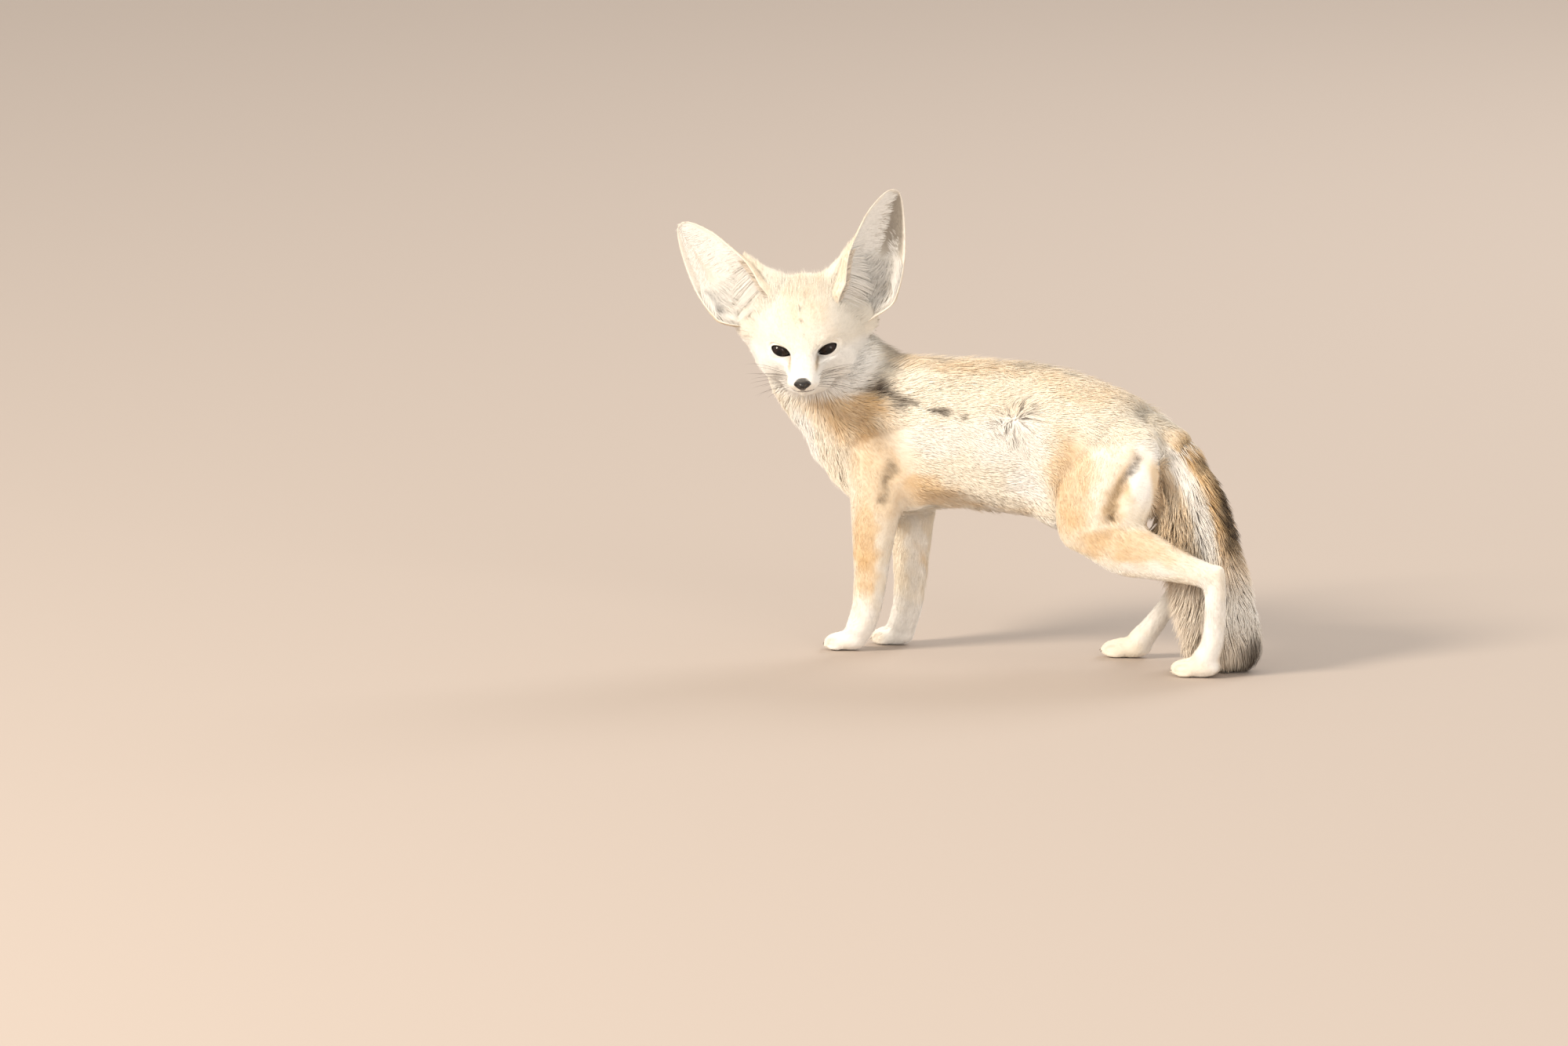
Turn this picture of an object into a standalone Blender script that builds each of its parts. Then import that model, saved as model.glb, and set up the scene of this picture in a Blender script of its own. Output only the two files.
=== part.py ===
"""A fennec fox as a still, life-size model. It stands with one hind leg stretched back and its head turned to its left.

Metres, +Z up. The fox faces -X, its left side faces -Y and the floor is Z = 0. The tables are in millimetres, which
MM turns to metres, from a point between the four paws. At the end the whole part is moved sideways, so that the
origin lies under the middle of its box. The surface is that of the coat.
"""

import math
import random

import bmesh
import bpy
import numpy as np
from mathutils import Matrix, Vector
from mathutils.bvhtree import BVHTree

MM = 0.001
GAP = 0.3  # between neighbouring pieces
SEED = 714

# Driving sizes
EYE_RADIUS = 7.6
EYE_APART = 17.0  # from the middle of the head to an eyeball's centre
EYE_FORWARD = -0.6
EYE_UP = -0.5
EYE_TURN = 22  # degrees outwards
EYE_SLANT = 22
LID_THICKNESS = 1.3
LID_OPENING = (7.6, 4.3)  # half width and half height
EAR_THICKNESS = 2.0
EAR_LOCKS = 8
RUFF_ROWS = (-15, -27)  # how far forward of the eyes each row starts
RUFF_LOCKS = 5
RUFF_LENGTH = 21
RUFF_HALF_WIDTH = 5.2
TOE_SPREAD = 5.4
MOUTH_TURN = 105  # how far round the muzzle the mouth's line runs on each side
MOUTH_LINE = (-21.0, -24.5)  # its height in front and at the corners

# About how many triangles the pieces keep before their openings are cut
HEAD_TRIANGLES = 1800
NECK_TRIANGLES = 380
PAW_TRIANGLES = 330
BODY_TRIANGLES = 3500
NOSE_TRIANGLES = 120

# Body: x, y, z of the section's centre, half width, reach up, reach down
TORSO = [
    (112, 0, 160, 21, 22, 28),
    (100, 0, 156, 31, 34, 38),
    (66, 0, 154, 36, 47, 50),
    (20, 0, 157, 34, 54, 58),
    (-35, 0, 156, 38, 57, 56),
    (-85, 0, 156, 37, 56, 60),
    (-122, 0, 161, 31, 42, 49),
    (-143, 0, 162, 22, 26, 33),
]
NECK = [
    (-86, 0, 160, 35, 42, 46),
    (-112, 0, 176, 34, 44, 48),
    (-131, -5, 193, 34, 42, 46),
    (-142, -15, 209, 33, 38, 42),
    (-146, -28, 220, 31, 32, 35),
]

# Legs: x, y, z, half width, reach to the front, reach to the back
FORELEG = [
    (-90, -22, 172, 12, 22, 24),
    (-93, -26, 140, 13, 23, 25),
    (-94, -26, 110, 12.5, 20, 21),
    (-97, -24, 84, 11, 16.5, 17),
    (-100, -21, 56, 9.5, 13.5, 14),
    (-104, -19, 32, 9, 11.5, 12.5),
    (-110, -18, 15, 9.5, 11, 11),
]
FORELEG_SWING = 21  # how far back the right forepaw stands from the left one
THIGH_LEFT = [
    (96, -18, 170, 14, 28, 22),
    (92, -25, 148, 16, 34, 33),
    (84, -29, 122, 17, 39, 34),
    (80, -32, 101, 15, 33, 27),
    (82, -33, 88, 12, 16, 17),
]
SHANK_LEFT = [
    (72, -33, 95, 12, 14, 14),
    (97, -34, 90, 13, 20, 21),
    (122, -34, 84, 11, 16, 17),
    (146, -33.5, 77, 9, 11, 11.5),
    (165, -33, 73, 8, 9, 9.5),
]
FOOT_LEFT = [
    (169, -33, 78, 6.5, 7, 6),
    (168, -33, 62, 7, 9, 8),
    (167, -33, 42, 7, 7.5, 8.5),
    (165, -33, 24, 7.8, 8, 9),
    (160, -33, 13, 9.5, 10, 10),
]
THIGH_RIGHT = [
    (96, 18, 170, 14, 28, 22),
    (88, 25, 148, 16, 34, 33),
    (70, 29, 124, 17, 34, 34),
    (53, 31, 107, 15, 24, 26),
    (45, 31, 100, 12, 14, 15),
]
SHANK_RIGHT = [
    (38, 31, 105, 12, 14, 14),
    (62, 31, 94, 12.5, 19, 19),
    (84, 31, 82, 10.5, 14.5, 15),
    (104, 31, 70, 8.5, 10, 10.5),
    (119, 31, 64, 8, 8.5, 9),
]
FOOT_RIGHT = [
    (124, 31, 69, 6.5, 7, 6),
    (119, 30.5, 55, 7, 9, 8),
    (108, 29, 39, 7, 7.5, 8.5),
    (96, 28, 23, 7.8, 8, 9),
    (88, 28, 13, 9.5, 10, 10),
]
# Paws: x, y of the middle of the sole, half length, half width, height
PAWS = {
    "forepaw_left": (-119, -18, 17, 10.5, 15),
    "forepaw_right": (-97, 18, 17, 10.5, 15),
    "hindpaw_left": (155, -33, 20, 10.5, 15),
    "hindpaw_right": (79, 28, 20, 10.5, 15),
}

# Tail: x, y, z, half width across, reach to the outer side, reach to the inner side
TAIL = [
    (100, 0, 166, 15, 16, 16),
    (121, 0, 151, 18, 21, 20),
    (137, 0, 124, 21, 25, 26),
    (148, 0, 93, 22, 28, 30),
    (155, 0, 62, 22, 32, 33),
    (160, 0, 32, 22, 34, 33),
    (165, 0, 8, 20, 31, 31),
    (167, 0, -6, 12, 18, 18),
]
TAIL_CORE_SHARE = 0.5
TAIL_CUT = (119.5, 0, 153)
TAIL_CUT_NORMAL = (0.60, 0, -0.80)
TAIL_FIRST_WHORL = 27
TAIL_WHORLS = 7
TAIL_LOCKS_ROUND = 8
TAIL_LOCK = (48, 10.8)  # length and half width
TAIL_ROOM_SHARE = 1.12

# Head: placed by the point between the eyes, the direction it looks in, its pitch down and its roll
HEAD_PLACE = (-135, -60, 223)
HEAD_TURN = math.radians(18)
HEAD_PITCH = math.radians(9)
HEAD_ROLL = math.radians(3.2)

# Head sections in its own frame: forward of the eyes, top and bottom from the line of the eyes, half width
SKULL = [
    (12, 4, -20, 15),
    (3, 14.5, -27, 25),
    (-8, 28, -33, 34),
    (-20, 37.5, -36, 40),
    (-32, 42, -37, 42.5),
    (-44, 41, -36, 40),
    (-55, 33, -31, 31),
]
MUZZLE = [
    (37.5, -8.5, -19.5, 7.2),
    (32, -6.5, -22, 10.2),
    (24, -3.5, -23, 12.2),
    (14, 3, -24, 14.5),
    (3, 11, -26, 19),
]
JAW = [
    (32, -18, -25.5, 5.0),
    (24, -17, -28, 8.0),
    (12, -17, -31, 12.5),
    (-2, -17, -35, 20),
]

# Finishes, by the first word of a node's name: material, linear colour and roughness
FINISHES = {
    "torso": ("coat_golden", (0.72, 0.55, 0.36), 0.9),
    "neck": ("coat_golden", (0.72, 0.55, 0.36), 0.9),
    "head": ("coat_face", (0.80, 0.68, 0.52), 0.9),
    "ear": ("coat_ear", (0.78, 0.64, 0.50), 0.85),
    "foreleg": ("coat_legs", (0.78, 0.64, 0.46), 0.9),
    "hindleg": ("coat_legs", (0.78, 0.64, 0.46), 0.9),
    "forepaw": ("coat_paws", (0.84, 0.74, 0.60), 0.9),
    "hindpaw": ("coat_paws", (0.84, 0.74, 0.60), 0.9),
    "tail": ("coat_tail", (0.62, 0.46, 0.30), 0.9),
    "eye": ("eyeball", (0.02, 0.012, 0.008), 0.08),
    "nose": ("nose_skin", (0.02, 0.016, 0.014), 0.45),
}

# Ears, by side: root, the reach from it to the tip, and the way the cup opens, in the head's frame
EARS = {
    1: ((-27, 45, 24), (-22, 22, 77), (0.9, 0.42, 0)),
    -1: ((-27, -42.5, 18), (-25, -44, 63.5), (0.96, -0.22, 0.2)),
}
# The ridge of fur that runs from the crown up the back of each ear
EAR_BACKS = {
    1: ((-39, 22, 38, 11, 10, 12), (-43, 31, 51.5, 7, 7, 9), (-47, 40.5, 68, 3.5, 4, 4)),
    -1: ((-39, -23, 37, 11, 10, 12), (-43, -34, 46.5, 6.5, 7, 9), (-47, -45, 58, 3, 4, 4)),
}
# Sections of an ear: place along it, half width, half of the arc in degrees, flattening, bow forward, way out
EAR_SHAPE = [
    (-0.18, 13, 150, 0.9, 4, -3),
    (0.0, 23, 125, 0.8, 1, -5),
    (0.15, 23.5, 114, 0.78, 0, -3),
    (0.35, 23, 100, 0.73, -1, -1.5),
    (0.55, 20, 86, 0.66, -1, 0),
    (0.75, 15.5, 76, 0.58, 0, 0),
    (0.9, 9.8, 70, 0.5, 1.5, 0),
    (0.975, 5.2, 68, 0.5, 2.5, 0),
    (1.0, 1.2, 68, 0.5, 3, 0),
]


def clear_scene():
    for obj in list(bpy.data.objects):
        bpy.data.objects.remove(obj)


def link(name, mesh):
    obj = bpy.data.objects.new(name, mesh)
    bpy.context.scene.collection.objects.link(obj)
    return obj


def object_from(name, bm):
    bmesh.ops.recalc_face_normals(bm, faces=bm.faces)
    mesh = bpy.data.meshes.new(name)
    bm.to_mesh(mesh)
    bm.free()
    return link(name, mesh)


def settle(obj):
    """Applies every modifier of the object."""
    graph = bpy.context.evaluated_depsgraph_get()
    mesh = bpy.data.meshes.new_from_object(obj.evaluated_get(graph))
    obj.modifiers.clear()
    obj.data = mesh
    return obj


def remove(*objects):
    for obj in objects:
        bpy.data.objects.remove(obj)


def spline(rows, count):
    """Rows of numbers at count even steps of a Catmull-Rom curve through the given rows."""
    rows = np.array(rows, float)
    padded = np.vstack([2 * rows[0] - rows[1], rows, 2 * rows[-1] - rows[-2]])
    steps = np.linspace(0, len(rows) - 1, count)
    made = []
    for step in steps:
        k = min(int(step), len(rows) - 2)
        t = step - k
        a, b, c, d = padded[k : k + 4]
        made.append(
            0.5
            * (
                2 * b
                + (c - a) * t
                + (2 * a - 5 * b + 4 * c - d) * t**2
                + (3 * b - a - 3 * c + d) * t**3
            )
        )
    return np.array(made)


def section_frames(centres, hint):
    """For each centre of a loft, its side and front directions; front lies towards the hint."""
    tangents = np.gradient(centres, axis=0)
    sides = np.cross(tangents, np.array(hint, float))
    sides /= np.linalg.norm(sides, axis=1)[:, None]
    fronts = np.cross(sides, tangents)
    fronts /= np.linalg.norm(fronts, axis=1)[:, None]
    tangents = tangents / np.linalg.norm(tangents, axis=1)[:, None]
    return tangents, sides, fronts


def loft(name, rows, hint, rings=16, around=20, cap=0.5, squareness=2.0):
    """A closed tube through sections of (x, y, z, half width, reach to the hint, reach away from it)."""
    rows = spline(rows, rings)
    centres = rows[:, :3]
    tangents, sides, fronts = section_frames(centres, hint)
    sections = []
    for end, sign in ((0, -1), (rings - 1, 1)):
        reach = cap * min(rows[end, 3], (rows[end, 4] + rows[end, 5]) / 2)
        for angle in (70, 42, 20):
            shrink = math.cos(math.radians(angle))
            move = sign * reach * math.sin(math.radians(angle))
            sections.append((end, shrink, move))
    order = sections[:3] + [(k, 1.0, 0.0) for k in range(rings)] + sections[:2:-1]
    bm = bmesh.new()
    loops = []
    for k, shrink, move in order:
        loop = []
        for step in range(around):
            turn = math.tau * step / around
            c = math.copysign(abs(math.cos(turn)) ** (2 / squareness), math.cos(turn))
            s = math.copysign(abs(math.sin(turn)) ** (2 / squareness), math.sin(turn))
            reach = rows[k, 4] if s > 0 else rows[k, 5]
            place = centres[k] + tangents[k] * move
            place = place + shrink * (sides[k] * rows[k, 3] * c + fronts[k] * reach * s)
            loop.append(bm.verts.new(place * MM))
        loops.append(loop)
    for first, second in zip(loops, loops[1:]):
        for k in range(around):
            n = (k + 1) % around
            bm.faces.new((first[k], first[n], second[n], second[k]))
    bm.faces.new(loops[0][::-1])
    bm.faces.new(loops[-1])
    return object_from(name, bm)


def ellipsoid(name, centre, radii, turn=None, segments=20):
    """An ellipsoid; turn is a rotation matrix for its axes."""
    bm = bmesh.new()
    bmesh.ops.create_uvsphere(bm, u_segments=segments, v_segments=segments * 2 // 3, radius=1)
    shape = Matrix.Diagonal(Vector(radii) * MM).to_4x4()
    place = Matrix.Translation(Vector(centre) * MM)
    spin = turn.to_4x4() if turn else Matrix.Identity(4)
    bm.transform(place @ spin @ shape)
    return object_from(name, bm)


def join(name, pieces):
    """One object that holds the meshes of several; the pieces are removed."""
    bm = bmesh.new()
    for piece in pieces:
        bm.from_mesh(piece.data)
    remove(*pieces)
    mesh = bpy.data.meshes.new(name)
    bm.to_mesh(mesh)
    bm.free()
    return link(name, mesh)


def blend(name, pieces, voxel, smoothing):
    """Overlapping closed pieces as one smooth closed surface."""
    obj = join(name, pieces)
    remesh = obj.modifiers.new("skin", "REMESH")
    remesh.mode = "VOXEL"
    remesh.voxel_size = voxel * MM
    smooth = obj.modifiers.new("soften", "SMOOTH")
    smooth.factor = 0.5
    smooth.iterations = smoothing
    return settle(obj)


def copy_of(obj, name):
    return link(name, obj.data.copy())


def cut(obj, place, normal, gap=0.0):
    """Removes what lies beyond a plane and closes the hole. The gap moves the plane back."""
    normal = Vector(normal).normalized()
    place = Vector(place) * MM - normal * gap * MM
    bm = bmesh.new()
    bm.from_mesh(obj.data)
    bmesh.ops.bisect_plane(
        bm,
        geom=bm.verts[:] + bm.edges[:] + bm.faces[:],
        dist=1e-7,
        plane_co=place,
        plane_no=normal,
        clear_outer=True,
    )
    edges = [e for e in bm.edges if e.is_boundary]
    bmesh.ops.holes_fill(bm, edges=edges, sides=0)
    bmesh.ops.triangulate(bm, faces=[f for f in bm.faces if len(f.verts) > 4])
    bm.to_mesh(obj.data)
    bm.free()
    return obj


def keep_largest(obj):
    """Keeps the largest connected surface of the object."""
    bm = bmesh.new()
    bm.from_mesh(obj.data)
    left = set(bm.verts)
    shells = []
    while left:
        stack = [left.pop()]
        shell = set(stack)
        while stack:
            for edge in stack.pop().link_edges:
                for vert in edge.verts:
                    if vert not in shell:
                        shell.add(vert)
                        stack.append(vert)
        left -= shell
        shells.append(shell)
    largest = max(shells, key=len)
    bmesh.ops.delete(bm, geom=[v for v in bm.verts if v not in largest], context="VERTS")
    bm.to_mesh(obj.data)
    bm.free()
    return obj


def thin_out(obj, triangles):
    """Lowers the mesh to about this many triangles."""
    bm = bmesh.new()
    bm.from_mesh(obj.data)
    bmesh.ops.triangulate(bm, faces=bm.faces)
    count = len(bm.faces)
    bm.to_mesh(obj.data)
    bm.free()
    fewer = obj.modifiers.new("fewer", "DECIMATE")
    fewer.ratio = min(1.0, triangles / count)
    fewer.use_collapse_triangulate = True
    return settle(obj)


def crop(source, name, planes, triangles, margin=4.0):
    """A named piece of a whole surface: what lies inside the planes, thinned out and then cut exactly."""
    obj = copy_of(source, name)
    for place, normal in planes:
        cut(obj, place, normal, gap=-margin)
    keep_largest(obj)
    thin_out(obj, triangles)
    for place, normal in planes:
        cut(obj, place, normal, gap=GAP / 2)
    return keep_largest(obj)


def is_closed(mesh, least):
    """True when every edge joins two faces and the mesh has at least this many faces."""
    bm = bmesh.new()
    bm.from_mesh(mesh)
    closed = len(bm.faces) >= least and all(edge.is_manifold for edge in bm.edges)
    bm.free()
    return closed


def boolean(obj, others, operation):
    """One Boolean with a collection of closed pieces, which are then removed."""
    group = bpy.data.collections.new("pieces")
    for other in others:
        group.objects.link(other)
    before = obj.data
    least = 0.1 * len(before.polygons)
    for solver in ("EXACT", "MANIFOLD"):
        obj.data = before
        change = obj.modifiers.new(operation.lower(), "BOOLEAN")
        change.operation = operation
        change.operand_type = "COLLECTION"
        change.collection = group
        change.solver = solver
        settle(obj)
        if is_closed(obj.data, least):
            break
    remove(*others)
    bpy.data.collections.remove(group)
    return keep_largest(obj)


def grown(obj, name, by):
    """A copy whose surface lies further out."""
    bigger = copy_of(obj, name)
    push = bigger.modifiers.new("push", "DISPLACE")
    push.mid_level = 0
    push.strength = by * MM
    return settle(bigger)


def head_matrix():
    """From the head's own frame, forward, left and up from between the eyes, to the part's."""
    level = Vector((math.sin(HEAD_TURN), -math.cos(HEAD_TURN), 0))
    forward = level * math.cos(HEAD_PITCH) - Vector((0, 0, math.sin(HEAD_PITCH)))
    left = Vector((0, 0, 1)).cross(level)
    left = Matrix.Rotation(HEAD_ROLL, 3, forward) @ left
    up = forward.cross(left)
    matrix = Matrix((forward, left, up)).transposed().to_4x4()
    matrix.translation = Vector(HEAD_PLACE) * MM
    return matrix


HEAD = head_matrix()


def into_place(obj):
    """Moves a piece made in the head's frame to the head."""
    obj.data.transform(HEAD)
    return obj


def head_rows(table):
    rows = []
    for forward, top, bottom, half_width in table:
        half = (top - bottom) / 2
        rows.append((forward, 0, (top + bottom) / 2, half_width, half, half))
    return rows


def head_pieces():
    up = (0, 0, 1)
    pieces = [
        loft("skull", head_rows(SKULL), up, 18, 24, cap=0.45, squareness=2.1),
        loft("muzzle", head_rows(MUZZLE), up, 14, 20, cap=0.35, squareness=2.2),
        loft("jaw", head_rows(JAW), up, 10, 16, cap=0.8),
    ]
    for side in (-1, 1):
        pieces += [
            ellipsoid("cheek", (-17, 21 * side, -9), (22, 15, 18)),
            ellipsoid("brow", (-1, 13 * side, 7.5), (9, 8, 5)),
            ellipsoid("whisker_pad", (27, 5.8 * side, -16.0), (9, 6.8, 6.2)),
            ellipsoid("ear_root", (-32, 25 * side, 27), (12, 14, 14)),
            ellipsoid("ear_base", (-34, 39 * side, 9), (12, 12, 14)),
            loft("ear_back", EAR_BACKS[side], (1, 0, 0), 8, 12, cap=0.6),
        ]
    return [into_place(piece) for piece in pieces]


def foreleg_rows(side):
    """The left foreleg's rows, or the right one's, mirrored and swung back from the shoulder."""
    top = FORELEG[0][2]
    rows = []
    for x, y, z, *sizes in FORELEG:
        swing = FORELEG_SWING * (1 - z / top) if side > 0 else 0
        rows.append((x + swing, y * -side, z, *sizes))
    return rows


def leg_pieces(name, tables, hints):
    return [
        loft(f"{name}_{k}", rows, hint, rings=14, around=18, cap=0.6)
        for k, (rows, hint) in enumerate(zip(tables, hints))
    ]


def paw_pieces(name):
    """The paw's body, and four toes that fan out a little."""
    x, y, half_length, half_width, height = PAWS[name]
    middle = height * 0.47
    pieces = [
        ellipsoid("palm", (x + 2, y, middle), (half_length * 0.82, half_width * 0.92, height * 0.52))
    ]
    for place in (-1.5, -0.5, 0.5, 1.5):
        outer = abs(place) > 1
        forward = half_length * (0.40 if outer else 0.56)
        centre = (x - forward, y + place * TOE_SPREAD, height * 0.36)
        radii = (half_length * 0.47, TOE_SPREAD * 0.62, height * 0.44)
        turn = Matrix.Rotation(math.radians(-5 * place), 3, "Z")
        pieces.append(ellipsoid("toe", centre, radii, turn, segments=14))
        tip = (x - forward - half_length * 0.46, y + place * TOE_SPREAD * 1.09, 2.4)
        dip = turn @ Matrix.Rotation(math.radians(-20), 3, "Y")
        pieces.append(ellipsoid("claw", tip, (3.6, 1.0, 1.3), dip, segments=10))
    return pieces


FRONT = (-1, 0, 0)
TOP = (0, 0, 1)
FORELEGS = {"left": foreleg_rows(-1), "right": foreleg_rows(1)}
HINDLEGS = {
    "left": (THIGH_LEFT, SHANK_LEFT, FOOT_LEFT),
    "right": (THIGH_RIGHT, SHANK_RIGHT, FOOT_RIGHT),
}
HIND_HINTS = (FRONT, TOP, FRONT)


def neck_piece():
    return loft("neck", NECK, (0.7, 0, 0.7), 12, 22, cap=0.5)


def tail_stub():
    return loft("tail_root", spline(TAIL, 22)[:6], (0.8, 0, 0.6), 8, 18, cap=0.4)


def body_whole():
    """Torso, neck, head and legs as one smooth surface."""
    pieces = [loft("torso", TORSO, TOP, 22, 26, cap=0.6), neck_piece(), tail_stub()]
    pieces += head_pieces()
    for side in ("left", "right"):
        pieces += leg_pieces("foreleg", [FORELEGS[side]], [FRONT])
        pieces += leg_pieces("hindleg", HINDLEGS[side], HIND_HINTS)
        pieces += paw_pieces(f"forepaw_{side}")
        pieces += paw_pieces(f"hindpaw_{side}")
    return blend("whole", pieces, voxel=1.7, smoothing=7)


HEAD_CUT = ((-143, -24, 214), (-0.12, -0.72, 0.68))
NECK_CUT = ((-108, 0, 173), (-0.74, 0, 0.67))
WRIST = 23
FLOOR = ((0, 0, -GAP / 2), (0, 0, -1))  # every cut keeps half the gap, so this one ends at 0
# The root of the tail takes up the flesh within these planes, and its brush lies beyond the first
TAIL_PLANE = (TAIL_CUT, (-TAIL_CUT_NORMAL[0], 0, -TAIL_CUT_NORMAL[2]))
TAIL_REGION = [TAIL_PLANE, ((104, 0, 128), (-0.83, 0, -0.55)), ((0, 22, 0), (0, 1, 0)), ((0, -22, 0), (0, -1, 0))]


def foreleg_region(side):
    rear = -60 if side < 0 else -52
    return [
        ((0, side * 12, 98), (0, -side * 0.95, 0.33)),
        ((0, side * 1, 50), (0, -side, 0)),
        ((-124 if side < 0 else -114, 0, 0), (-1, 0, 0)),
        ((rear, 0, 120), (1, 0, 0.12)),
        ((0, 0, 180), (0, 0, 1)),
        ((0, 0, WRIST), (0, 0, -1)),
    ]


def hindleg_region(side):
    return [
        ((0, side * 13, 104), (0, -side * 0.95, 0.33)),
        ((0, side * 7, 50), (0, -side, 0)),
        ((44 if side < 0 else 26, 0, 120), (-1, 0, 0.22)),
        ((0, 0, 186), (0, 0, 1)),
        ((0, 0, WRIST), (0, 0, -1)),
    ]


def opposite(plane):
    place, normal = plane
    return place, tuple(-n for n in normal)


def region(planes, gap):
    """A convex solid inside the planes, each moved inwards by the gap."""
    bm = bmesh.new()
    bmesh.ops.create_cube(bm, size=1.2)
    block = object_from("region", bm)
    for place, normal in planes:
        cut(block, place, normal, gap)
    return block


def piece_within(source, name, planes):
    return boolean(copy_of(source, name), [region(planes, GAP / 2)], "INTERSECT")


def lens(name, half_width, half_height, near, far):
    """An almond-shaped prism along X, which cuts the opening between the lids."""
    bm = bmesh.new()
    outline = []
    for step in range(12):
        turn = math.tau * step / 12
        narrow = abs(math.sin(turn)) ** 1.15 * math.copysign(1, math.sin(turn))
        outline.append((half_width * math.cos(turn), half_height * narrow))
    near_loop = [bm.verts.new(Vector((near, y * 0.8, z * 0.8)) * MM) for y, z in outline]
    far_loop = [bm.verts.new(Vector((far, y * 1.3, z * 1.3)) * MM) for y, z in outline]
    for k in range(12):
        n = (k + 1) % 12
        bm.faces.new((near_loop[k], near_loop[n], far_loop[n], far_loop[k]))
    bm.faces.new(near_loop[::-1])
    bm.faces.new(far_loop)
    return object_from(name, bm)


def eye_matrix(side):
    """An eye's frame: X looks out, Y runs from the inner to the outer corner on the left eye."""
    place = Matrix.Translation(Vector((EYE_FORWARD, EYE_APART * side, EYE_UP)) * MM)
    gaze = Matrix.Rotation(math.radians(EYE_TURN * side), 4, "Z")
    slant = Matrix.Rotation(math.radians(EYE_SLANT * side), 4, "X")
    return HEAD @ place @ gaze @ slant


def make_eye(name, side):
    ball = ellipsoid(name, (0, 0, 0), (EYE_RADIUS,) * 3, segments=16)
    ball.data.transform(eye_matrix(side))
    return ball


def cut_eyes(head):
    lids = []
    openings = []
    for side in (-1, 1):
        matrix = eye_matrix(side)
        lid = ellipsoid("lid", (0, 0, 0), (EYE_RADIUS + GAP + LID_THICKNESS,) * 3, segments=16)
        socket = ellipsoid("socket", (0, 0, 0), (EYE_RADIUS + GAP,) * 3, segments=16)
        opening = lens("opening", *LID_OPENING, 3.0, 16.0)
        for obj in (lid, socket, opening):
            obj.data.transform(matrix)
        lids.append(lid)
        openings += [socket, opening]
    boolean(head, lids, "UNION")
    return boolean(head, openings, "DIFFERENCE")


def surface_points(obj, origins, directions):
    """Where rays first meet the object's surface."""
    bm = bmesh.new()
    bm.from_mesh(obj.data)
    tree = BVHTree.FromBMesh(bm)
    found = [tree.ray_cast(o, d)[0] for o, d in zip(origins, directions)]
    bm.free()
    return [point for point in found if point is not None]


def tube(name, points, radius, sides=5):
    """A closed tube through points of the part's frame, pointed at both ends."""
    bm = bmesh.new()
    points = [Vector(p) for p in points]
    loops = []
    for k, point in enumerate(points):
        along = points[min(k + 1, len(points) - 1)] - points[max(k - 1, 0)]
        spin = along.to_track_quat("Z", "Y")
        shrink = 0.3 if k in (0, len(points) - 1) else 1.0
        loop = []
        for step in range(sides):
            turn = math.tau * step / sides
            offset = Vector((math.cos(turn), math.sin(turn), 0)) * radius * shrink * MM
            loop.append(bm.verts.new(point + spin @ offset))
        loops.append(loop)
    for first, second in zip(loops, loops[1:]):
        for k in range(sides):
            n = (k + 1) % sides
            bm.faces.new((first[k], first[n], second[n], second[k]))
    bm.faces.new(loops[0][::-1])
    bm.faces.new(loops[-1])
    return object_from(name, bm)


def add_ruff(head):
    """Locks behind each cheek, swept back along the sides of the head."""
    draw = random.Random(SEED)
    locks = []
    for side in (-1, 1):
        for row, start in enumerate(RUFF_ROWS):
            for k in range(RUFF_LOCKS):
                turn = math.radians(-60 + 68 * (k + 0.5 * row) / RUFF_LOCKS + draw.uniform(-2, 2))
                out = Vector((0, side * math.cos(turn), math.sin(turn)))
                origin = HEAD @ ((Vector((start, 0, 0)) + out * 90) * MM)
                found = surface_points(head, [origin], [HEAD.to_3x3() @ -out])
                root = (HEAD.inverted() @ found[0]) / MM
                length = RUFF_LENGTH * draw.uniform(0.85, 1.15)
                centres, sides, normals = [], [], []
                for t, lift in ((0, -3.0), (0.35, 0.8), (0.7, 2.6), (1, 3.6)):
                    sweep = Vector((-length * t, 0, -length * 0.16 * t))
                    centres.append(np.array(root + sweep + out * lift))
                    sides.append(np.array(Vector((-1, 0, 0)).cross(out).normalized()))
                    normals.append(np.array(out))
                wide = RUFF_HALF_WIDTH * draw.uniform(0.9, 1.1)
                locks.append(into_place(lock(centres, sides, normals, (wide * 0.7, wide, wide * 0.75, 0), 1.3)))
    boolean(head, locks, "UNION")
    cut(head, *opposite(HEAD_CUT), GAP / 2)
    return keep_largest(head)


def mouth_groove(head):
    """A tube along the line between the lips, half sunk in the muzzle."""
    origins = []
    directions = []
    for step in range(-9, 10):
        turn = math.radians(MOUTH_TURN) * step / 9
        drop = MOUTH_LINE[0] + (MOUTH_LINE[1] - MOUTH_LINE[0]) * abs(step / 9) ** 1.5
        way = Vector((math.cos(turn), math.sin(turn), 0))
        middle = Vector((4, 0, drop))
        origins.append(HEAD @ ((middle + way * 80) * MM))
        directions.append(HEAD.to_3x3() @ -way)
    return tube("mouth", surface_points(head, origins, directions), 0.75)


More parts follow.
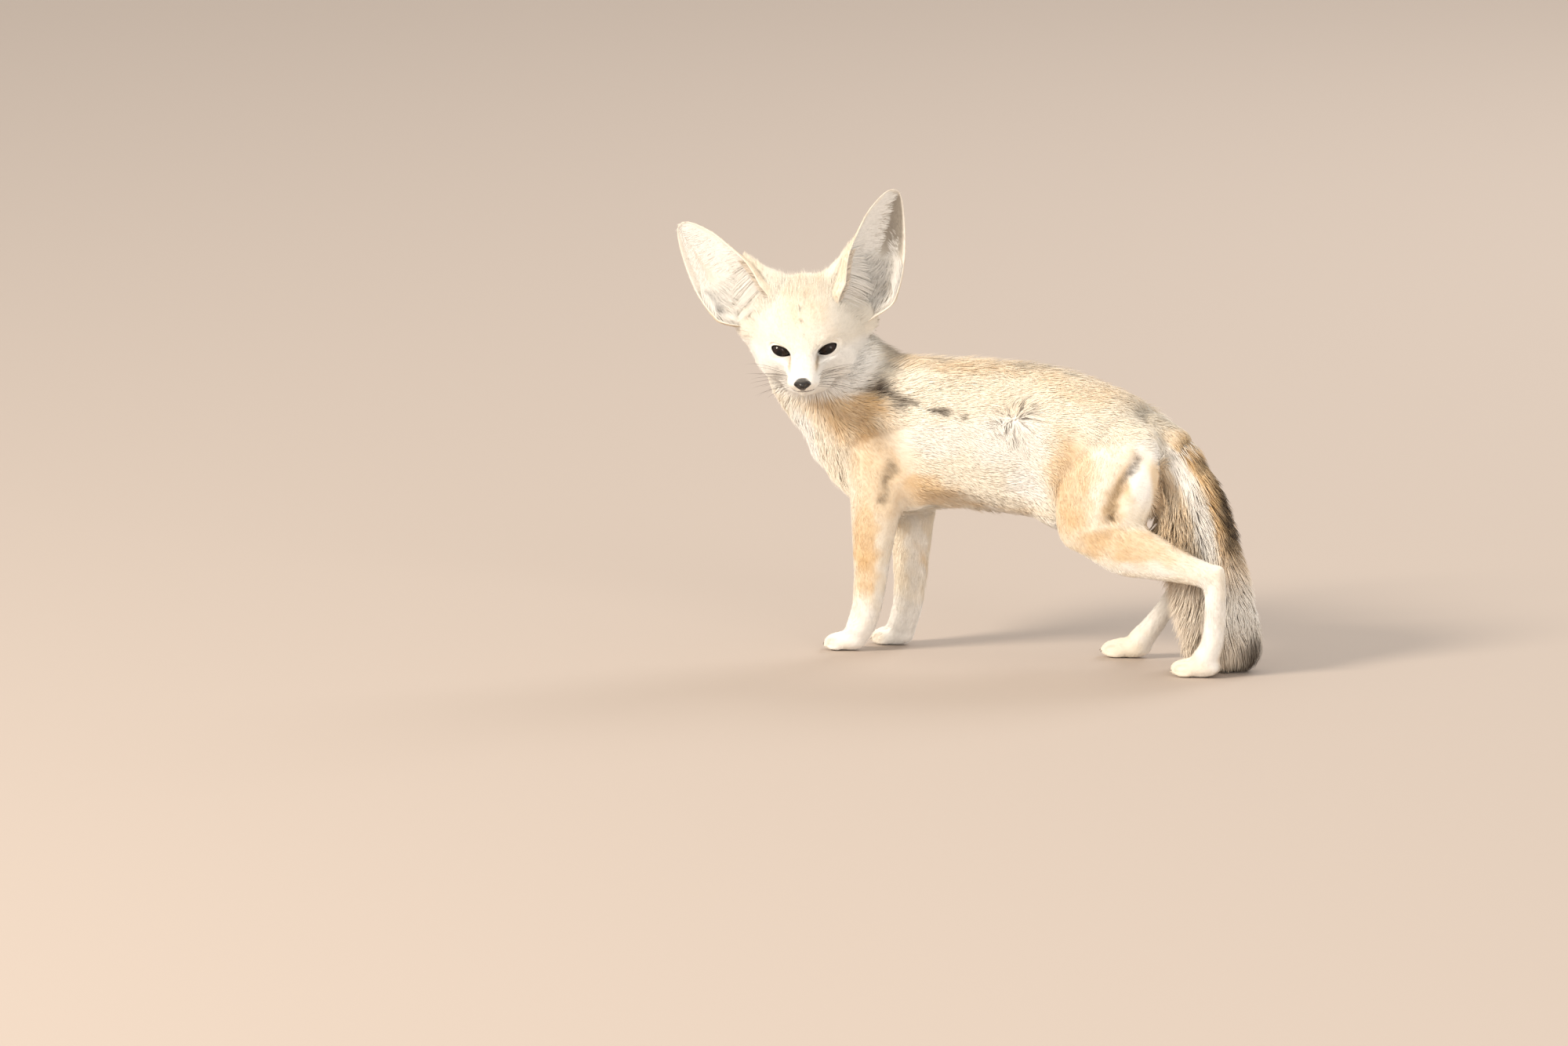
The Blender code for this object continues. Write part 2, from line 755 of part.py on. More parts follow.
def make_nose():
    """The bare nose pad, with its two nostrils and the groove between them."""
    pad = blend(
        "nose",
        [
            ellipsoid("pad", (38.5, 0, -12.6), (5.2, 6.3, 4.0)),
            ellipsoid("tip", (40.5, 0, -13.2), (4.2, 4.6, 3.4)),
            ellipsoid("lip", (38.5, 0, -16.2), (3.4, 2.4, 2.2)),
        ],
        voxel=0.45,
        smoothing=3,
    )
    thin_out(pad, NOSE_TRIANGLES)
    holes = []
    for side in (-1, 1):
        turn = Matrix.Rotation(math.radians(38 * side), 3, "Z")
        tilt = Matrix.Rotation(math.radians(-30 * side), 3, "X")
        holes.append(ellipsoid("nostril", (42.0, 3.4 * side, -13.0), (3.2, 1.9, 1.2), turn @ tilt, 12))
        holes.append(ellipsoid("slit", (40.0, 5.8 * side, -14.0), (2.6, 1.6, 0.5), turn, 10))
    holes.append(ellipsoid("groove", (44.5, 0, -15.5), (1.7, 0.45, 2.6), None, 10))
    boolean(pad, holes, "DIFFERENCE")
    return into_place(pad)


def ear_frame(side):
    """An ear's root, its reach, the way across it and the way it opens, in the head's frame."""
    root, reach, opening = EARS[side]
    reach = Vector(reach)
    axis = reach.normalized()
    opening = Vector(opening)
    opening = (opening - axis * opening.dot(axis)).normalized()
    across = axis.cross(opening)
    if across.y * side < 0:
        across = -across
    return Vector(root), reach, across, opening


def ear_point(frame, section, turn, inset):
    """A point of the ear's cup: turned round it from -1 at the inner rim to 1 at the outer one."""
    root, reach, across, opening = frame
    along, half_width, arc, flat, bow, out = (float(v) for v in section)
    arc = math.radians(arc)
    radius = half_width / math.sin(min(arc, math.pi / 2))
    x = (radius - inset) * math.sin(arc * turn) + out
    y = -(radius * flat - inset) * math.cos(arc * turn) + bow
    return root + reach * along + across * x + opening * y


def fringe_lock(frame, section, length):
    """A lock of the ear's long hair, from inside the inner rim across the cup."""
    centres, normals = [], []
    half_width = section[1]
    for t, turn, inset in ((0, -0.9, 0.8), (0.3, -0.62, 0.2), (0.65, -0.3, 0.29), (1, 0.02, 0.25)):
        inset = inset if t == 0 else inset * half_width
        moved = np.array(section, float)
        moved[0] += 0.05 * t
        turn = -0.9 + (turn + 0.9) * length
        place = ear_point(frame, moved, turn, inset)
        normals.append(np.array((ear_point(frame, moved, turn, inset + 1) - place).normalized()))
        centres.append(np.array(place))
    centres = np.array(centres)
    tangents = np.gradient(centres, axis=0)
    sides = np.cross(tangents, normals)
    sides /= np.linalg.norm(sides, axis=1)[:, None]
    wide = 0.17 * half_width + 0.7
    return lock(centres, sides, np.array(normals), (wide * 0.8, wide, wide * 0.7, 0), 0.75)


def make_ear(name, side, ups=11, rounds=9):
    """A thin cup, closed round its rim, with locks of long hair that cross it from the inner rim."""
    draw = random.Random(SEED + side)
    frame = ear_frame(side)
    sections = spline(EAR_SHAPE, ups + 1)
    bm = bmesh.new()
    walls = []
    for inner in (0, 1):
        wall = []
        for section in sections:
            along = section[0]
            thickness = EAR_THICKNESS * (1.25 - 0.5 * along)
            row = []
            for j in range(rounds + 1):
                turn = -1 + 2 * j / rounds
                rim = 0.4 + 0.6 * min(1, 5 * (1 - abs(turn)), 9 * (1 - along))
                inset = thickness * rim * inner
                row.append(bm.verts.new(ear_point(frame, section, turn, inset) * MM))
            wall.append(row)
        walls.append(wall)
    outer, inner = walls
    for i in range(ups):
        for j in range(rounds):
            bm.faces.new((outer[i][j], outer[i][j + 1], outer[i + 1][j + 1], outer[i + 1][j]))
            bm.faces.new((inner[i][j], inner[i + 1][j], inner[i + 1][j + 1], inner[i][j + 1]))
    for j in range(rounds):
        for i in (0, ups):
            bm.faces.new((outer[i][j], outer[i][j + 1], inner[i][j + 1], inner[i][j]))
    for i in range(ups):
        for j in (0, rounds):
            bm.faces.new((outer[i][j], outer[i + 1][j], inner[i + 1][j], inner[i][j]))
    ear = object_from(name, bm)
    table = np.array(EAR_SHAPE)
    locks = []
    for k in range(EAR_LOCKS):
        along = 0.06 + 0.76 * k / (EAR_LOCKS - 1) + draw.uniform(-0.01, 0.01)
        section = [along] + [np.interp(along, table[:, 0], table[:, c]) for c in range(1, 6)]
        locks.append(fringe_lock(frame, section, draw.uniform(0.85, 1.1)))
    return into_place(boolean(ear, locks, "UNION"))


def lock(centres, sides, normals, half_widths, half_thickness):
    """A flat, tapered and bent lock: a blade of four edges that ends in a point."""
    bm = bmesh.new()
    loops = []
    last = len(centres) - 1
    for k in range(last):
        thick = half_thickness * (half_widths[k] / max(half_widths)) ** 0.5
        centre, side, normal = centres[k], sides[k] * half_widths[k], normals[k] * thick
        corners = (centre + side, centre + normal, centre - side, centre - normal)
        loops.append([bm.verts.new(Vector(corner) * MM) for corner in corners])
    for first, second in zip(loops, loops[1:]):
        for j in range(4):
            n = (j + 1) % 4
            bm.faces.new((first[j], first[n], second[n], second[j]))
    tip = bm.verts.new(Vector(centres[last]) * MM)
    for j in range(4):
        bm.faces.new((loops[-1][j], loops[-1][(j + 1) % 4], tip))
    bm.faces.new(loops[0][::-1])
    return object_from("lock", bm)


class Brush:
    """The tail's own coordinates: along its middle line, round it and out from it."""

    def __init__(self):
        self.rows = spline(TAIL, 120)
        self.centres = self.rows[:, :3]
        steps = np.linalg.norm(np.diff(self.centres, axis=0), axis=1)
        self.along = np.concatenate([[0], np.cumsum(steps)])
        self.tangents, self.sides, self.fronts = section_frames(self.centres, (0.8, 0, 0.6))
        self.length = self.along[-1]

    def at(self, distance, turn, share):
        """A point at a distance along, turned round, at a share of the brush's reach; and two directions."""
        over = max(0.0, distance - self.length)
        distance = min(distance, self.length)
        row = [np.interp(distance, self.along, self.rows[:, k]) for k in range(6)]
        side = np.array([np.interp(distance, self.along, self.sides[:, k]) for k in range(3)])
        front = np.array([np.interp(distance, self.along, self.fronts[:, k]) for k in range(3)])
        tangent = np.array([np.interp(distance, self.along, self.tangents[:, k]) for k in range(3)])
        c, s = math.cos(turn), math.sin(turn)
        reach = row[4] if s > 0 else row[5]
        place = np.array(row[:3]) + tangent * over + share * (side * row[3] * c + front * reach * s)
        outward = side * c / row[3] + front * s / reach
        outward /= np.linalg.norm(outward)
        across = np.cross(outward, tangent)
        return place, across / np.linalg.norm(across), outward


def tail_lock(brush, start, turn, length, half_width, lift):
    """One lock of the brush, from inside the core out to the brush's surface."""
    centres, sides, normals = [], [], []
    for t, share in ((0, TAIL_CORE_SHARE - 0.3), (0.3, TAIL_CORE_SHARE + 0.1), (0.68, 0.86), (1, lift)):
        place, across, outward = brush.at(start + length * t, turn + 0.12 * t * (1 - t), share)
        centres.append(place)
        sides.append(across)
        normals.append(outward)
    widths = (half_width * 0.7, half_width, half_width * 0.72, 0)
    return lock(centres, sides, normals, widths, half_width * 0.3)


def make_tail(root):
    """The brush: a core half as thick as the whole, and whorls of locks that overlap like tiles."""
    draw = random.Random(SEED)
    brush = Brush()
    core_rows = brush.rows[::5].copy()
    fade = np.clip((brush.along[::5] - TAIL_FIRST_WHORL * 0.7) / 34, 0, 1)[:, None]
    core_rows[:, 3:] *= 0.97 + (TAIL_CORE_SHARE - 0.97) * fade
    tail = loft("tail", core_rows, (0.8, 0, 0.6), 20, 14, cap=0.4)
    locks = []
    last = brush.length - 28
    for whorl in range(TAIL_WHORLS):
        start = TAIL_FIRST_WHORL + (last - TAIL_FIRST_WHORL) * whorl / (TAIL_WHORLS - 1)
        narrow = min(1.0, 0.78 + 0.08 * whorl)
        for k in range(TAIL_LOCKS_ROUND):
            turn = math.tau * (k + 0.5 * (whorl % 2) + draw.uniform(-0.13, 0.13)) / TAIL_LOCKS_ROUND
            place = start + draw.uniform(-3, 3)
            length = TAIL_LOCK[0] * draw.uniform(0.88, 1.1)
            half_width = TAIL_LOCK[1] * narrow * draw.uniform(0.9, 1.1)
            locks.append(tail_lock(brush, place, turn, length, half_width, draw.uniform(0.95, 1.03)))
    for k in range(4):
        turn = math.tau * k / 4 + 0.3
        locks.append(tail_lock(brush, brush.length - 22, turn, 34, 8, 0.4))
    boolean(tail, [root] + locks, "UNION")
    cut(tail, *TAIL_PLANE, GAP / 2)
    return keep_largest(cut(tail, *FLOOR, GAP / 2))


def tail_room():
    """What the torso and the legs leave free for the brush."""
    rows = spline(TAIL, 24)
    rows[:, 3:] *= TAIL_ROOM_SHARE
    return cut(loft("room", rows, (0.8, 0, 0.6), 24, 20, cap=0.5), *TAIL_PLANE, -GAP / 2)


def finish(obj):
    """Gives a node its material and smooth shading."""
    kind = obj.name.split("_")[0]
    name, colour, roughness = FINISHES.get(kind, FINISHES["torso"])
    material = bpy.data.materials.get(name) or bpy.data.materials.new(name)
    material.use_nodes = True
    shader = material.node_tree.nodes["Principled BSDF"]
    shader.inputs["Base Color"].default_value = (*colour, 1)
    shader.inputs["Roughness"].default_value = roughness
    shader.inputs["Metallic"].default_value = 0
    obj.data.materials.clear()
    obj.data.materials.append(material)
    obj.data.shade_smooth()
    obj.data.set_sharp_from_angle(angle=math.radians(50))


def centre_on_floor():
    """Moves the whole part sideways so that the origin lies under the middle of its box."""
    objects = list(bpy.context.scene.objects)
    corners = np.array([obj.matrix_world @ Vector(corner) for obj in objects for corner in obj.bound_box])
    middle = (corners.min(axis=0) + corners.max(axis=0)) / 2
    for obj in objects:
        obj.data.transform(Matrix.Translation((-middle[0], -middle[1], 0)))


def main():
    clear_scene()
    whole = body_whole()
    head = crop(whole, "head", [opposite(HEAD_CUT)], HEAD_TRIANGLES)
    crop(whole, "neck", [HEAD_CUT, opposite(NECK_CUT)], NECK_TRIANGLES)
    for name in PAWS:
        side = -1 if name.endswith("left") else 1
        fore = -1 if name.startswith("fore") else 1
        planes = [
            FLOOR,
            ((0, 0, WRIST), (0, 0, 1)),
            ((0, 0, 0), (0, -side, 0)),
            ((0, 0, 0), (-fore, 0, 0)),
        ]
        crop(whole, name, planes, PAW_TRIANGLES)
    cut(whole, *NECK_CUT, gap=-4)
    keep_largest(whole)
    thin_out(whole, BODY_TRIANGLES)
    regions = []
    for side, word in ((-1, "left"), (1, "right")):
        for name, planes in (("foreleg", foreleg_region(side)), ("hindleg", hindleg_region(side))):
            leg = piece_within(whole, f"{name}_{word}", planes)
            if name == "hindleg":
                boolean(leg, [region(TAIL_REGION, -GAP / 2), tail_room()], "DIFFERENCE")
            regions.append(planes)
    torso = copy_of(whole, "torso")
    cut(torso, *NECK_CUT, GAP / 2)
    boolean(torso, [region(planes, -GAP / 2) for planes in [TAIL_REGION] + regions], "DIFFERENCE")
    boolean(torso, [tail_room()], "DIFFERENCE")
    tail_root = piece_within(whole, "tail_root", TAIL_REGION)
    remove(whole)
    add_ruff(head)
    cut_eyes(head)
    boolean(head, [mouth_groove(head)], "DIFFERENCE")
    nose = make_nose()
    boolean(head, [grown(nose, "socket", GAP)], "DIFFERENCE")
    for side, word in ((-1, "right"), (1, "left")):
        make_eye(f"eye_{word}", side)
        ear = make_ear(f"ear_{word}", side)
        boolean(ear, [grown(head, "room", GAP)], "DIFFERENCE")
    make_tail(tail_root)
    for obj in bpy.context.scene.objects:
        finish(obj)
    centre_on_floor()


main()
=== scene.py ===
"""A fennec fox as a still model of life size: skin, coat, ears, eyes, nose, whiskers and claws.

Metres, +Z up. The fox faces -X, its left side faces -Y and the floor is Z = 0. The body's tables are in
millimetres from a point between the four paws, and SHIFT carries them to the frame's origin. The head's
tables give millimetres forward, left and up from the point between the eyes.
"""

import math

import bmesh
import bpy
import numpy as np
from mathutils import Matrix, Vector
from mathutils.bvhtree import BVHTree
from mathutils.kdtree import KDTree


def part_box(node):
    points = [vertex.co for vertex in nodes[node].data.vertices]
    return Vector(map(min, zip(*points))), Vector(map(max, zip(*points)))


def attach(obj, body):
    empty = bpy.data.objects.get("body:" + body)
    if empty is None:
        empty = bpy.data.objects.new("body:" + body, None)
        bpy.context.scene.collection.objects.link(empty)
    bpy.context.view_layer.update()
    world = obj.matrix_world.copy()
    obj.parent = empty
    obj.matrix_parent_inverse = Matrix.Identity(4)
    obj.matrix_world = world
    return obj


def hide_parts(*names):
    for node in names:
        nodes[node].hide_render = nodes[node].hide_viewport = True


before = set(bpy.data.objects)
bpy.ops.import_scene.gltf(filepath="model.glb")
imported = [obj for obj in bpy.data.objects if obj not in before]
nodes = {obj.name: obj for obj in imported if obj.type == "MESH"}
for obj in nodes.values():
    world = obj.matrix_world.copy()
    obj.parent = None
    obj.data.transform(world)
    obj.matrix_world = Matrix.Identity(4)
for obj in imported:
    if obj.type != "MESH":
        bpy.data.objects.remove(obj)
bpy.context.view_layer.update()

MM = 0.001
SEED = 714

# Head: placed by the point between the eyes, the direction it looks in, its pitch down and its roll
HEAD_PLACE = (-135, -60, 223)
HEAD_TURN = math.radians(18)
HEAD_PITCH = math.radians(9)
HEAD_ROLL = math.radians(3.2)

EYE_RADIUS = 7.6
EYE_APART = 17.0
EYE_FORWARD = -0.6
EYE_UP = -0.5
EYE_TURN = 6
EYE_SLANT = 23
LID_OPENING = (6.8, 3.4, 3.3)  # half width, height over the middle and depth under it
OPENING_RISE = 1.3  # how far the opening's corners lie over the eyeball's middle
NOSE_DROP = 1.5

# Paws: x, y and half length
PAWS = {
    "forepaw_left": (-119, -18, 17),
    "forepaw_right": (-97, 18, 17),
    "hindpaw_left": (155, -33, 20),
    "hindpaw_right": (79, 28, 20),
}
TOE_SPREAD = 5.4  # from one toe's middle to the next

# Tail: x, y, z, half width across, reach to the outer side, reach to the inner side
TAIL = [
    (100, 0, 166, 15, 16, 16),
    (121, 0, 151, 18, 21, 20),
    (137, 0, 124, 21, 25, 26),
    (148, 0, 93, 22, 28, 30),
    (155, 0, 62, 22, 32, 33),
    (160, 0, 32, 22, 34, 33),
    (165, 0, 8, 20, 31, 31),
    (167, 0, -6, 12, 18, 18),
]
TAIL_CORE_SHARE = 0.62  # of the brush's reach is flesh

# Ears, by side: root, the reach from it to the tip, and the way the cup opens, in the head's frame
EARS = {
    1: ((-27, 45, 24), (-22, 22, 77), (0.9, 0.42, 0)),
    -1: ((-27, -42.5, 18), (-25, -44, 63.5), (0.96, -0.22, 0.2)),
}
# Sections of an ear: place along it, half width, half of the arc in degrees, flattening, bow forward and
# way out
EAR_SHAPE = [
    (-0.18, 13, 150, 0.9, 4, -3),
    (0.0, 23, 125, 0.8, 1, -5),
    (0.15, 23.5, 114, 0.78, 0, -3),
    (0.35, 23, 100, 0.73, -1, -1.5),
    (0.55, 20, 86, 0.66, -1, 0),
    (0.75, 15.5, 76, 0.58, 0, 0),
    (0.9, 9.8, 70, 0.5, 1.5, 0),
    (0.975, 5.2, 68, 0.5, 2.5, 0),
    (1.0, 1.2, 68, 0.5, 3, 0),
]
EAR_THICKNESS = 1.7

# The coat by region: tufts, their length, half width, the height of their tips over the skin, their rings
# of points, how far they draw together, and the slot
COAT = {
    "torso": (39000, 14.0, 0.31, 2.9, 2, 0.28, "coat_golden"),
    "neck": (14000, 13.0, 0.29, 2.6, 2, 0.26, "coat_golden"),
    "head": (58000, 5.6, 0.19, 1.05, 1, 0.22, "coat_face"),
    "foreleg": (18000, 7.0, 0.24, 1.3, 1, 0.30, "coat_legs"),
    "hindleg": (27000, 8.5, 0.26, 1.8, 1, 0.32, "coat_legs"),
    "paw": (12000, 4.4, 0.20, 1.2, 1, 0.25, "coat_paws"),
    "tail": (12000, 30.0, 0.46, 15.5, 3, 0.32, "coat_tail"),
}
REGIONS = list(COAT)

# The region of each solid that the skin stands for
FLESH = {"torso": "torso", "neck": "neck", "head": "head"}
for limb, region in (("foreleg", "foreleg"), ("hindleg", "hindleg"), ("forepaw", "paw"), ("hindpaw", "paw")):
    FLESH.update({f"{limb}_{side}": region for side in ("left", "right")})
FLESH["tail"] = "tail"

# The lie of the coat: lines of points that the hair follows, over the body in its table's frame
BODY_LINES = [
    [
        (-118, -14, 226), (-104, -4, 216), (-85, 0, 214), (-40, 0, 214), (30, 0, 211), (80, 0, 196),
        (112, 0, 176),
    ],
    [(-125, -30, 196), (-105, -36, 190), (-70, -38, 186), (-20, -40, 184), (40, -37, 176), (80, -36, 168)],
    [(-125, 22, 196), (-105, 34, 190), (-70, 38, 186), (-20, 40, 184), (40, 37, 176), (80, 36, 168)],
    [(-110, -38, 150), (-80, -40, 142), (-30, -38, 136), (20, -36, 132), (55, -36, 124)],
    [(-110, 38, 150), (-80, 40, 142), (-30, 38, 136), (20, 36, 132), (55, 36, 124)],
    [(-90, 0, 104), (-40, 0, 107), (20, 0, 104), (50, 0, 98), (70, 0, 106)],
    [(-66, -32, 128), (-56, -32, 117), (-46, -28, 109)],
    [(-24, -34, 126), (-10, -32, 114), (0, -27, 106)],
    [(18, -34, 124), (30, -32, 108), (42, -29, 97)],
    [(-58, 32, 128), (-48, 32, 117), (-38, 28, 109)],
    [(-16, 34, 126), (-2, 32, 114), (8, 27, 106)],
    [(-150, -32, 190), (-146, -22, 170), (-138, -10, 145), (-122, 0, 118), (-105, 0, 104)],
    [(-140, 0, 190), (-140, 0, 165), (-130, 0, 135), (-118, 0, 110)],
    [(-95, -36, 160), (-97, -38, 130), (-98, -34, 100), (-101, -28, 70), (-104, -26, 35), (-116, -22, 12)],
    [(-84, -30, 110), (-90, -22, 75), (-92, -18, 45)],
    [(-85, 36, 160), (-84, 38, 130), (-82, 34, 100), (-83, 28, 70), (-84, 26, 35), (-94, 22, 12)],
    [(-70, 30, 110), (-74, 22, 75), (-74, 18, 45)],
    [(84, -40, 165), (72, -46, 135), (70, -46, 112), (84, -46, 96)],
    [(92, -44, 150), (88, -46, 130), (86, -46, 108)],
    [(104, -46, 140), (113, -44, 150), (124, -36, 156)],
    [(100, -46, 130), (110, -44, 124), (118, -40, 112), (122, -36, 98)],
    [(96, -46, 116), (102, -46, 102), (112, -44, 92)],
    [(60, -40, 140), (62, -46, 118), (80, -46, 98), (110, -46, 88), (140, -44, 80), (160, -42, 74)],
    [(100, -34, 76), (130, -34, 70), (156, -34, 64)],
    [(170, -33, 78), (174, -33, 60), (174, -33, 40), (172, -33, 20)],
    [(162, -33, 66), (160, -33, 44), (158, -33, 24), (146, -33, 12), (136, -33, 6)],
    [(78, 40, 165), (66, 46, 140), (58, 46, 115), (66, 44, 98)],
    [(100, 38, 160), (98, 44, 135), (92, 44, 112)],
    [(45, 40, 135), (48, 44, 112), (62, 44, 94), (86, 42, 80), (112, 38, 66)],
    [(60, 31, 80), (90, 31, 66), (112, 31, 58)],
    [(127, 31, 70), (124, 30, 52), (112, 29, 34), (104, 28, 20)],
    [(114, 30, 58), (104, 29, 40), (92, 28, 24), (76, 28, 12), (62, 28, 6)],
    [(112, 0, 178), (134, 0, 160), (150, 0, 132), (162, 0, 100), (172, 0, 66), (180, 0, 34), (186, 0, 8)],
    [(108, 0, 140), (122, 0, 118), (128, 0, 90), (132, 0, 60), (134, 0, 30), (138, 0, 8)],
]
# and over the head in the head's own frame, the sides mirrored
HEAD_LINES = [
    [
        (38, 0, -8), (30, 0, -3), (18, 0, 3), (8, 0, 9), (0, 0, 17), (-9, 0, 28), (-20, 0, 38), (-35, 0, 43),
        (-55, 0, 36),
    ],
    [(36, 8, -13), (26, 13, -12), (14, 18, -12), (4, 26, -12), (-6, 34, -11), (-20, 42, -9), (-40, 44, -6)],
    [(14, 9, 2), (8, 12, 6), (0, 17, 13), (-9, 23, 23), (-18, 29, 32), (-28, 34, 40)],
    [(4, 24, 2), (-4, 32, 6), (-14, 39, 10), (-24, 44, 14)],
    [(34, 4, -22), (20, 8, -28), (4, 18, -33), (-14, 28, -37), (-30, 34, -40)],
    [(34, 0, -25), (15, 0, -31), (-5, 0, -36), (-20, 0, -40)],
    [(22, 16, -18), (8, 25, -22), (-6, 35, -24), (-22, 43, -24), (-38, 46, -24)],
]

# How far the belly's skin lies over the solid's (under it where the number is below 0), by x
BELLY_RISE = [(-90, 0), (-66, 7), (-35, 8.5), (0, 5), (18, 4), (26, 0), (38, -6.5), (50, -5), (70, 0)]

# The whorl of the left flank, where the hair lies out from a point: the point and its reach
WHORL = ((15.7, -40, 176.2), 19)

# Folds: points, half width, depth, and how dark the painted shade in them is
FOLDS = [
    ([(-95, -36, 193), (-84, -40, 188), (-74, -41, 183)], 5.5, 2.4, 1.5),
    ([(-76, -41, 184), (-58, -42, 182.5), (-40, -42, 179), (-22, -41, 177)], 2.3, 1.8, 1.25),
    ([(110, -44, 153), (102, -47, 140), (94.5, -47, 125), (92.6, -47, 111)], 4.0, 3.4, 0.72),
    ([(-78, -40, 138), (-82, -40, 126), (-85, -38, 114)], 4.2, 2.0, 0.55),
    ([(130, -10, 132), (143, -10, 110), (153, -10, 84)], 1.2, 0.0, 0.5),
]
HIND_FOLDS = 60  # from this x on, a fold has painted warm shade in gold beside it
FINE_FOLD = 3  # a fold of a smaller half width shows as a broken line

# Marks: place, reach along x, y and z, and strength
GOLDEN = [
    ((-90, -34, 134), (24, 26, 40), 0.45),
    ((-82, 34, 134), (24, 26, 40), 0.45),
    ((-101, -36, 74), (12, 16, 48), 0.75),
    ((-86, 32, 68), (13, 16, 48), 0.75),
    ((-56, -34, 119), (26, 22, 15), 0.6),
    ((-44, 34, 119), (26, 22, 15), 0.6),
    ((58, -44, 132), (22, 26, 44), 0.6),
    ((50, 40, 130), (22, 26, 44), 0.6),
    ((104, -46, 93), (46, 16, 13), 0.65),
    # painted warm shade in gold at the thigh's fold
    ((103, -46, 138), (7, 16, 16), 0.8),
    ((93, -46, 117), (6, 14, 14), 0.6),
    ((74, 42, 92), (42, 16, 13), 0.65),
    ((-30, 0, 210), (90, 24, 13), 0.35),
    ((-44, -28, 112), (34, 22, 8), 0.55),
    ((6, -28, 108), (24, 20, 6), 0.4),
    # golden neck; on the left, where it is stronger, it is also painted shadow of the head under the chin
    ((-110, -44, 176), (32, 34, 32), 0.75),
    ((-120, 28, 178), (28, 30, 36), 0.5),
    ((60, 0, 196), (60, 30, 20), 0.35),
    ((122, 10, 80), (16, 26, 60), 0.6),
]
WHITE = [
    ((-152, -14, 150), (13, 26, 44), 1.0),
    ((-10, 0, 96), (90, 30, 13), 0.9),
    ((10, -38, 160), (34, 20, 24), 0.75),
    ((22, -36, 126), (17, 20, 26), 0.9),
    ((-40, -38, 160), (30, 20, 14), 0.6),
    ((118, -34, 142), (18, 20, 26), 1.0),
    ((110, 34, 140), (18, 20, 26), 0.85),
    ((-108, -18, 12), (26, 16, 28), 1.0),
    ((-88, 18, 12), (26, 16, 28), 1.0),
    ((164, -33, 34), (16, 14, 48), 0.95),
    ((104, 28, 26), (24, 14, 34), 0.95),
    ((-90, -14, 70), (12, 12, 60), 0.8),
    ((-76, 12, 80), (12, 10, 60), 0.7),
    ((110, -34, 76), (50, 12, 9), 0.8),
    ((85, -20, 100), (40, 10, 40), 0.8),
    ((70, 20, 100), (40, 10, 40), 0.8),
]
DARK = [
    ((-60, 0, 218), (70, 13, 9), 0.5),
    ((30, 0, 214), (60, 14, 9), 0.35),
    ((108, 0, 184), (30, 22, 15), 0.35),
    ((-98, -10, 212), (22, 30, 22), 0.45),
]


def head_matrix():
    """From the head's own frame to the body's."""
    level = Vector((math.sin(HEAD_TURN), -math.cos(HEAD_TURN), 0))
    forward = level * math.cos(HEAD_PITCH) - Vector((0, 0, math.sin(HEAD_PITCH)))
    left = Matrix.Rotation(HEAD_ROLL, 3, forward) @ Vector((0, 0, 1)).cross(level)
    matrix = Matrix((forward, left, forward.cross(left))).transposed().to_4x4()
    matrix.translation = Vector(HEAD_PLACE) * MM
    return matrix


def shift():
    """What carries the tables to the frame, read from where the left eye lies."""
    low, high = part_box("eye_left")
    way = (low + high) / 2 - head_matrix() @ (Vector((EYE_FORWARD, EYE_APART, EYE_UP)) * MM)
    way.z = 0
    return way


SHIFT = shift()
HEAD = Matrix.Translation(SHIFT) @ head_matrix()
HEAD_TURNED = np.array(HEAD.to_3x3())


def body_place(points):
    """Points of the body's table, in the frame."""
    return np.asarray(points, float) * MM + np.array(SHIFT)


def body_frame(points):
    return (points - np.array(SHIFT)) / MM


def head_place(points):
    """Points of the head's table, in the frame."""
    return np.asarray(points, float) * MM @ HEAD_TURNED.T + np.array(HEAD.translation)


def head_frame(points):
    return (points - np.array(HEAD.translation)) @ HEAD_TURNED / MM


def unit(vectors):
    return vectors / np.maximum(np.linalg.norm(vectors, axis=-1, keepdims=True), 1e-9)


def smooth_step(low, high, values):
    t = np.clip((values - low) / (high - low), 0, 1)
    return t * t * (3 - 2 * t)


def bump(values, width):
    """1 at a value of 0, falling to about a third at the width."""
    return np.exp(-((values / width) ** 2))


def waves(points, size, seed, count=7):
    """Smooth noise from -1 to 1 over points in millimetres, with swells of about the given size."""
    draw = np.random.default_rng(seed)
    ways = draw.normal(size=(count, 3)) * 2.2 / size
    phases = draw.uniform(0, math.tau, count)
    return np.sin(points @ ways.T + phases).sum(axis=1) / math.sqrt(count) / 1.3


def stirred(points, reach, size, seed):
    """Points moved about by smooth noise, so that what is drawn with them gets uneven edges."""
    return points + reach * np.stack([waves(points, size, seed + k) for k in range(3)], axis=1)


def spline(rows, count):
    """Rows of numbers at count even steps of a Catmull-Rom curve through the given rows."""
    rows = np.array(rows, float)
    padded = np.vstack([2 * rows[0] - rows[1], rows, 2 * rows[-1] - rows[-2]])
    made = []
    for step in np.linspace(0, len(rows) - 1, count):
        k = min(int(step), len(rows) - 2)
        t = step - k
        a, b, c, d = padded[k : k + 4]
        bend = (2 * a - 5 * b + 4 * c - d) * t**2 + (3 * b - a - 3 * c + d) * t**3
        made.append(0.5 * (2 * b + (c - a) * t + bend))
    return np.array(made)


# Materials


def linear(code):
    """The linear colour of an sRGB hex value."""
    parts = [int(code[k : k + 2], 16) / 255 for k in (1, 3, 5)]
    return tuple(c / 12.92 if c <= 0.04045 else ((c + 0.055) / 1.055) ** 2.4 for c in parts) + (1.0,)


def grain(size):
    """The scale of a pattern whose grains or swells have the given size in millimetres."""
    return 1 / (size * MM)


